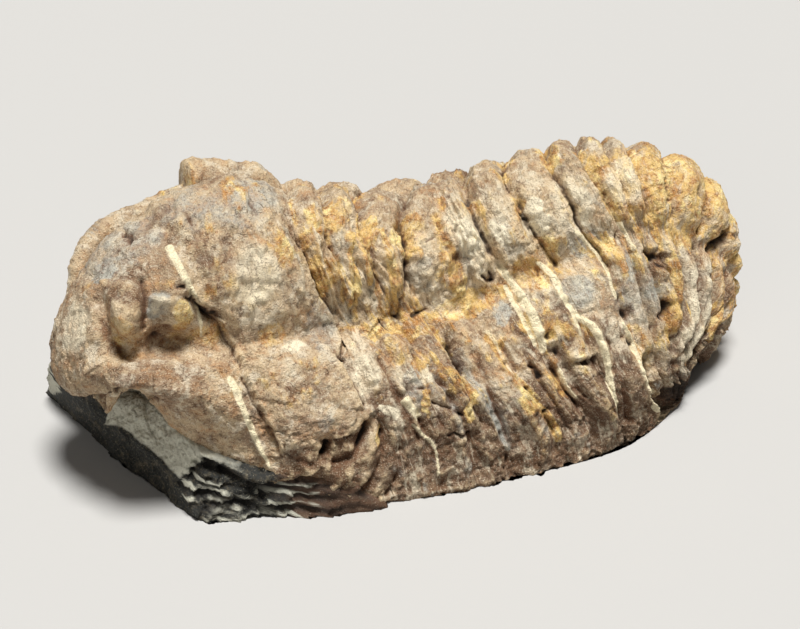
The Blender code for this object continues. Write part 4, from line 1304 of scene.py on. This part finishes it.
# %% Numbers in a material
class Number:
    """A number in a material. Plus, minus and times add Math nodes."""

    def __init__(self, graph, socket):
        self.graph = graph
        self.socket = socket

    def math(self, operation, left, right):
        return self.graph.number("ShaderNodeMath", {"operation": operation}, {0: left, 1: right})

    def __add__(self, other):
        return self.math("ADD", self, other)

    def __sub__(self, other):
        return self.math("SUBTRACT", self, other)

    def __rsub__(self, other):
        return self.math("SUBTRACT", other, self)

    def __mul__(self, other):
        return self.math("MULTIPLY", self, other)

    __radd__ = __add__
    __rmul__ = __mul__


def paint(red, green, blue):
    """Linear colour of a screen colour from 0 to 255, by the screen's standard curve."""
    screen = np.array((red, green, blue)) / 255
    linear = np.where(screen <= 0.04045, screen / 12.92, ((screen + 0.055) / 1.055) ** 2.4)
    return (*linear.tolist(), 1)


print("half grey on a screen is linear:", round(paint(128, 128, 128)[0], 3))

# %% Nodes of a material
FIBRES_PER_ROW = FIBRES_PER_SIDE = 9


class Graph:
    """A material's nodes, one at a time: type, settings first, then its inputs' values or links."""

    def __init__(self, name):
        self.material = bpy.data.materials.new(name)
        self.material.use_nodes = True
        self.tree = self.material.node_tree
        self.shader = self.tree.nodes["Principled BSDF"]

    def node(self, kind, settings, inputs):
        node = self.tree.nodes.new(kind)
        for key, value in settings.items():
            setattr(node, key, value)
        self.feed(node, inputs)
        return node

    def feed(self, node, inputs):
        for key, value in inputs.items():
            value = value.socket if isinstance(value, Number) else value
            if isinstance(value, bpy.types.NodeSocket):
                self.tree.links.new(value, node.inputs[key])
            else:
                node.inputs[key].default_value = value

    def number(self, kind, settings, inputs, output=0):
        return Number(self, self.node(kind, settings, inputs).outputs[output])

    def attribute(self, name):
        """One of the mesh's own numbers, such as a stain."""
        return self.number("ShaderNodeAttribute", {"attribute_name": name}, {}, 2)

    def place(self):
        """Where a point lies in its piece, in millimetres."""
        coordinates = self.node("ShaderNodeTexCoord", {}, {}).outputs["Object"]
        scaled = self.node("ShaderNodeVectorMath", {"operation": "SCALE"}, {
            0: coordinates, "Scale": 1 / MM})
        return scaled.outputs[0]

    def noise(self, place, size, detail, roughness, distortion=0.0):
        """Noise from 0 to 1 with features of the given size in millimetres."""
        return self.number("ShaderNodeTexNoise", {"noise_dimensions": "3D"}, {
            "Vector": place, "Scale": 1 / size, "Detail": detail, "Roughness": roughness,
            "Distortion": distortion})

    def fibres(self):
        """Noise drawn out along the ribs or beds: it is read at row and side, not at the place."""
        flow = self.node("ShaderNodeCombineXYZ", {}, {
            "X": self.attribute("row") * FIBRES_PER_ROW,
            "Y": self.attribute("side") * FIBRES_PER_SIDE})
        return (self.noise(flow.outputs[0], 1, 4, 0.7, 0.5) - 0.5) * self.attribute("fibrous")

    def mask(self, value, start, end):
        """The fade of the value from start to end, by a smooth Map Range."""
        return self.number("ShaderNodeMapRange", {"interpolation_type": "SMOOTHSTEP"}, {
            "Value": value, "From Min": start, "From Max": end})

    def blend(self, part, first, second):
        """Second colour over the first, by part."""
        node = self.node("ShaderNodeMix", {"data_type": "RGBA"}, {0: part, 6: first, 7: second})
        return node.outputs[2]

    def layered(self, colour, layers):
        """Each layer's colour over what lies below it, by the layer's part."""
        for part, tone in layers:
            colour = self.blend(part, colour, tone)
        return colour

    def finish(self, colour, roughness, height, strength, depth):
        """Colour, roughness, and a bump of the height, its depth in millimetres, to the shader."""
        bumped = self.node("ShaderNodeBump", {}, {
            "Strength": strength, "Distance": depth * MM, "Height": height})
        self.feed(self.shader, {
            "Base Color": colour, "Roughness": roughness, "Normal": bumped.outputs[0]})
        print(self.material.name, "nodes:", len(self.tree.nodes))
        return self.material


print("fibres per row count:", FIBRES_PER_ROW)

# %% [markdown]
# ## The fossil's finish
#
# The ground colour wanders between tan and brown. Over it lie the stains, each broken up by fine
# noise so that its edge is ragged and not airbrushed, and drawn out along the ribs by the fibres.
# Then come thin rusty creases, the calcite of the veins, the salt-and-pepper grain of the rock, and
# last the dark of the hollows, which is dirt and painted shade, also under the broken edges. Scanned
# pictures of rock could do this too, but their stains would not follow this stone's own furrows.

# %% Fossil material
TAN, BROWN = paint(194, 170, 136), paint(160, 134, 106)
PALE, RUBBED, WARM = paint(214, 200, 174), paint(226, 202, 160), paint(180, 138, 96)
OCHRE, DEEP_OCHRE, YELLOW = paint(226, 188, 110), paint(188, 134, 70), paint(248, 222, 148)
GREY, PURPLE = paint(176, 177, 167), paint(96, 68, 47)
CREAM, RUST, BLACK = paint(242, 230, 200), paint(100, 66, 42), paint(26, 20, 14)
CALCITE = paint(242, 228, 190)

graph = Graph("fossil_stone")
place_mm = graph.place()
broad = graph.noise(place_mm, 7, 4, 0.6)
patchy = graph.noise(place_mm, 1.6, 4, 0.65)
fine = graph.noise(place_mm, 0.45, 3, 0.7)
grain = graph.noise(place_mm, 0.16, 2, 0.6)
mottle = graph.noise(place_mm, 2.6, 5, 0.72, 0.4)
blotch = graph.noise(place_mm, 4.1, 5, 0.7, 0.6)
ragged_edge = (patchy - 0.5) * 0.7 + (fine - 0.5) * 0.5
fibre = graph.fibres()

wavy = graph.noise(place_mm, 3.4, 3, 0.6, 0.8)
crease = graph.mask(wavy, 0.485, 0.5) * graph.mask(wavy, 0.515, 0.5)
crease = crease * graph.mask(patchy, 0.48, 0.6)

ochre_tone = graph.layered(OCHRE, (
    (graph.mask(patchy, 0.42, 0.6), DEEP_OCHRE),
    (graph.mask(mottle, 0.5, 0.64), YELLOW),
))
ochre_part = graph.mask(graph.attribute("ochre") + ragged_edge + fibre, 0.3, 0.8)
cream_part = graph.mask(graph.attribute("cream") + ragged_edge * 0.8 + fibre * 0.5, 0.3, 0.8)
vein_part = graph.mask(graph.attribute("vein") + ragged_edge * 0.8, 0.35, 0.75)
# painted shade and dirt: the dark stain turns rust and black
shade_and_dirt_part = graph.attribute("dark") + ragged_edge * 0.6


def spread(name):
    """A stain with a ragged edge, and with gaps where the blotches are."""
    return graph.mask(graph.attribute(name) + ragged_edge, 0.25, 0.75) * graph.mask(blotch, 0.25, 0.5)


colour = graph.layered(TAN, (
    (graph.mask(broad + (patchy - 0.5) * 0.8, 0.38, 0.62), BROWN),
    (graph.mask(mottle, 0.5, 0.62) * 0.8, PALE),
    (graph.mask(mottle, 0.47, 0.36) * 0.75, WARM),
    (graph.mask(blotch, 0.54, 0.66) * 0.45, PURPLE),
    (spread("purple") * 0.88, PURPLE),
    (spread("grey") * 0.76, GREY),
    (spread("rust") * 0.7, RUST),
    (graph.attribute("worn") * 0.5, RUBBED),
    (ochre_part * (0.6 + graph.mask(fine, 0.35, 0.6) * 0.35), ochre_tone),
    (cream_part * 0.9, CREAM),
    (graph.mask(fibre, 0.05, 0.16) * 0.45, PALE),
    (graph.mask(fibre, -0.06, -0.16) * 0.35, RUST),
    (crease * 0.45, RUST),
    (graph.mask(fine, 0.55, 0.66) * 0.5, RUST),
    (vein_part * 0.9, CALCITE),
    (graph.mask(grain, 0.56, 0.7) * 0.4, CREAM),
    (graph.mask(grain, 0.44, 0.32) * 0.5, RUST),
    (graph.mask(shade_and_dirt_part, 0.2, 0.65) * 0.65, RUST),
    (graph.mask(shade_and_dirt_part, 0.5, 1) * 0.9, BLACK),
))
height = fine * 0.5 + grain * 0.3 + patchy * 0.6 + fibre * 0.45 - crease * 0.2
graph.feed(graph.shader, {"Specular IOR Level": 0.35})
fossil_finish = graph.finish(colour, 0.78 + (fine - 0.5) * 0.3, height, 1, 0.5)

# %% [markdown]
# ## The matrix's finish
#
# Mudstone is nearly black when it is wet or dirty and light grey-green where it has just been broken.
# So its ground is dark shale, the fresh stain lets in the light colour, and the noise is drawn out
# along the beds instead of the ribs.

# %% Matrix material
FRESH_AND_PAINTED_LIGHT, STALE, SHALE_AND_SIDE_SHADE = paint(204, 201, 182), paint(104, 94, 74), paint(30, 31, 26)

graph = Graph("fresh_matrix")
place_mm = graph.place()
patchy = graph.noise(place_mm, 1.6, 4, 0.65)
fine = graph.noise(place_mm, 0.4, 3, 0.7)
grain = graph.noise(place_mm, 0.15, 2, 0.6)
lamina = graph.fibres()
purple_part = graph.mask(graph.attribute("purple") + (patchy - 0.5) * 0.6, 0.3, 0.8)
fresh_part = graph.mask(graph.attribute("fresh_and_lit") + (patchy - 0.5) * 0.5 + lamina, 0.35, 0.85)
colour = graph.layered(SHALE_AND_SIDE_SHADE, (
    (graph.mask(patchy + lamina, 0.5, 0.72) * 0.7, STALE),
    (purple_part, PURPLE),
    (fresh_part, FRESH_AND_PAINTED_LIGHT),
    (graph.mask(fine, 0.52, 0.66) * 0.45, STALE),
    (graph.mask(grain, 0.62, 0.72) * 0.35, CREAM),
    # painted shade in the bed gaps and hollows, and dirt
    (graph.attribute("dark") * 0.8, BLACK),
))
height = fine * 0.5 + grain * 0.4 + patchy * 0.7 + lamina * 0.7
matrix_finish = graph.finish(colour, 0.75 + (fine - 0.5) * 0.3, height, 0.9, 0.25)

# %% [markdown]
# ## Onto the frame
#
# All five pieces are the same stone, so each rides on its only body and stands for its only node.

# %% Fix the pieces to the frame
for name, piece in pieces.items():
    piece.data.materials.append(matrix_finish if name == "matrix_chunk" else fossil_finish)
    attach(piece, "root")
    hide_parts("trilobite_fossil")
print("pieces:", ", ".join(pieces))

# %% [markdown]
# ## Floor, light and camera
#
# A plain pale floor, as wide as a room, so that it reaches the horizon in low views.

# %% Floor
FLOOR_SIZE = 12.0

half = FLOOR_SIZE / 2
floor_mesh = bpy.data.meshes.new("floor")
floor_corners = [(-half, -half, 0), (half, -half, 0), (half, half, 0), (-half, half, 0)]
floor_mesh.from_pydata(floor_corners, [], [(0, 1, 2, 3)])
floor = bpy.data.objects.new("floor", floor_mesh)
bpy.context.scene.collection.objects.link(floor)
graph = Graph("pale_paper")
graph.feed(graph.shader, {"Base Color": paint(180, 178, 174), "Roughness": 0.9})
floor_mesh.materials.append(graph.material)
print("floor, m:", FLOOR_SIZE)

# %% [markdown]
# The photo's light comes from almost straight above, and its shadows are soft: the tops are bright,
# the near flank is half lit and the foot is in shade. An area lamp overhead would light the floor in
# a pool. A sun that is wide in angle lights all of it alike, with the same soft shadows, and a large
# weak lamp in front opens the dark side a little.

# %% Lights
from mathutils import Vector

SUN_STRENGTH, SUN_ANGLE, SUN_FROM = 5.0, 17, (0.03, -0.05, 0.54)
FILL_PLACE, FILL_AIM, FILL_SIZE, FILL_POWER = (-0.35, -0.45, 0.3), (0, 0, 0.01), 0.4, 0.45
WORLD_STRENGTH = 0.08

fill_light = bpy.data.lights.new("fill", "AREA")
fill_light.shape = "DISK"
fill_light.size = FILL_SIZE
fill_light.energy = FILL_POWER
fill = bpy.data.objects.new("fill", fill_light)
fill.location = FILL_PLACE
fill.rotation_euler = (Vector(FILL_AIM) - Vector(FILL_PLACE)).to_track_quat("-Z", "Y").to_euler()
bpy.context.scene.collection.objects.link(fill)

sun_light = bpy.data.lights.new("key", "SUN")
sun_light.energy = SUN_STRENGTH
sun_light.angle = np.radians(SUN_ANGLE)
sun = bpy.data.objects.new("key", sun_light)
sun.rotation_euler = Vector(SUN_FROM).to_track_quat("Z", "Y").to_euler()
bpy.context.scene.collection.objects.link(sun)

world = bpy.data.worlds.new("studio")
bpy.context.scene.world = world
world.use_nodes = True
background = world.node_tree.nodes["Background"]
background.inputs["Color"].default_value = (1, 1, 1, 1)
background.inputs["Strength"].default_value = WORLD_STRENGTH
bpy.context.scene.view_settings.view_transform = "Standard"
sun_slant = Vector((0, 0, 1)).angle(Vector(SUN_FROM))
print("sun, degrees from upright:", round(np.degrees(sun_slant), 1))

# %% [markdown]
# The camera is the one whose numbers placed the marks, now in metres. It looks at the stone, so
# against the direction that was called backward there.

# %% Camera
camera_data = bpy.data.cameras.new("photo_camera")
camera_data.lens = LENS
camera_data.sensor_width = SENSOR
camera_data.clip_start = 0.01
camera = bpy.data.objects.new("photo_camera", camera_data)
camera.location = Vector(lens_place * MM)
camera.rotation_euler = Vector(-backward).to_track_quat("-Z", "Y").to_euler()
bpy.context.scene.collection.objects.link(camera)
bpy.context.scene.camera = camera
print("camera at, m:", [round(value, 3) for value in camera.location])

# %% Finish
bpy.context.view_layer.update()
print("seconds:", round(time.time() - started, 1))
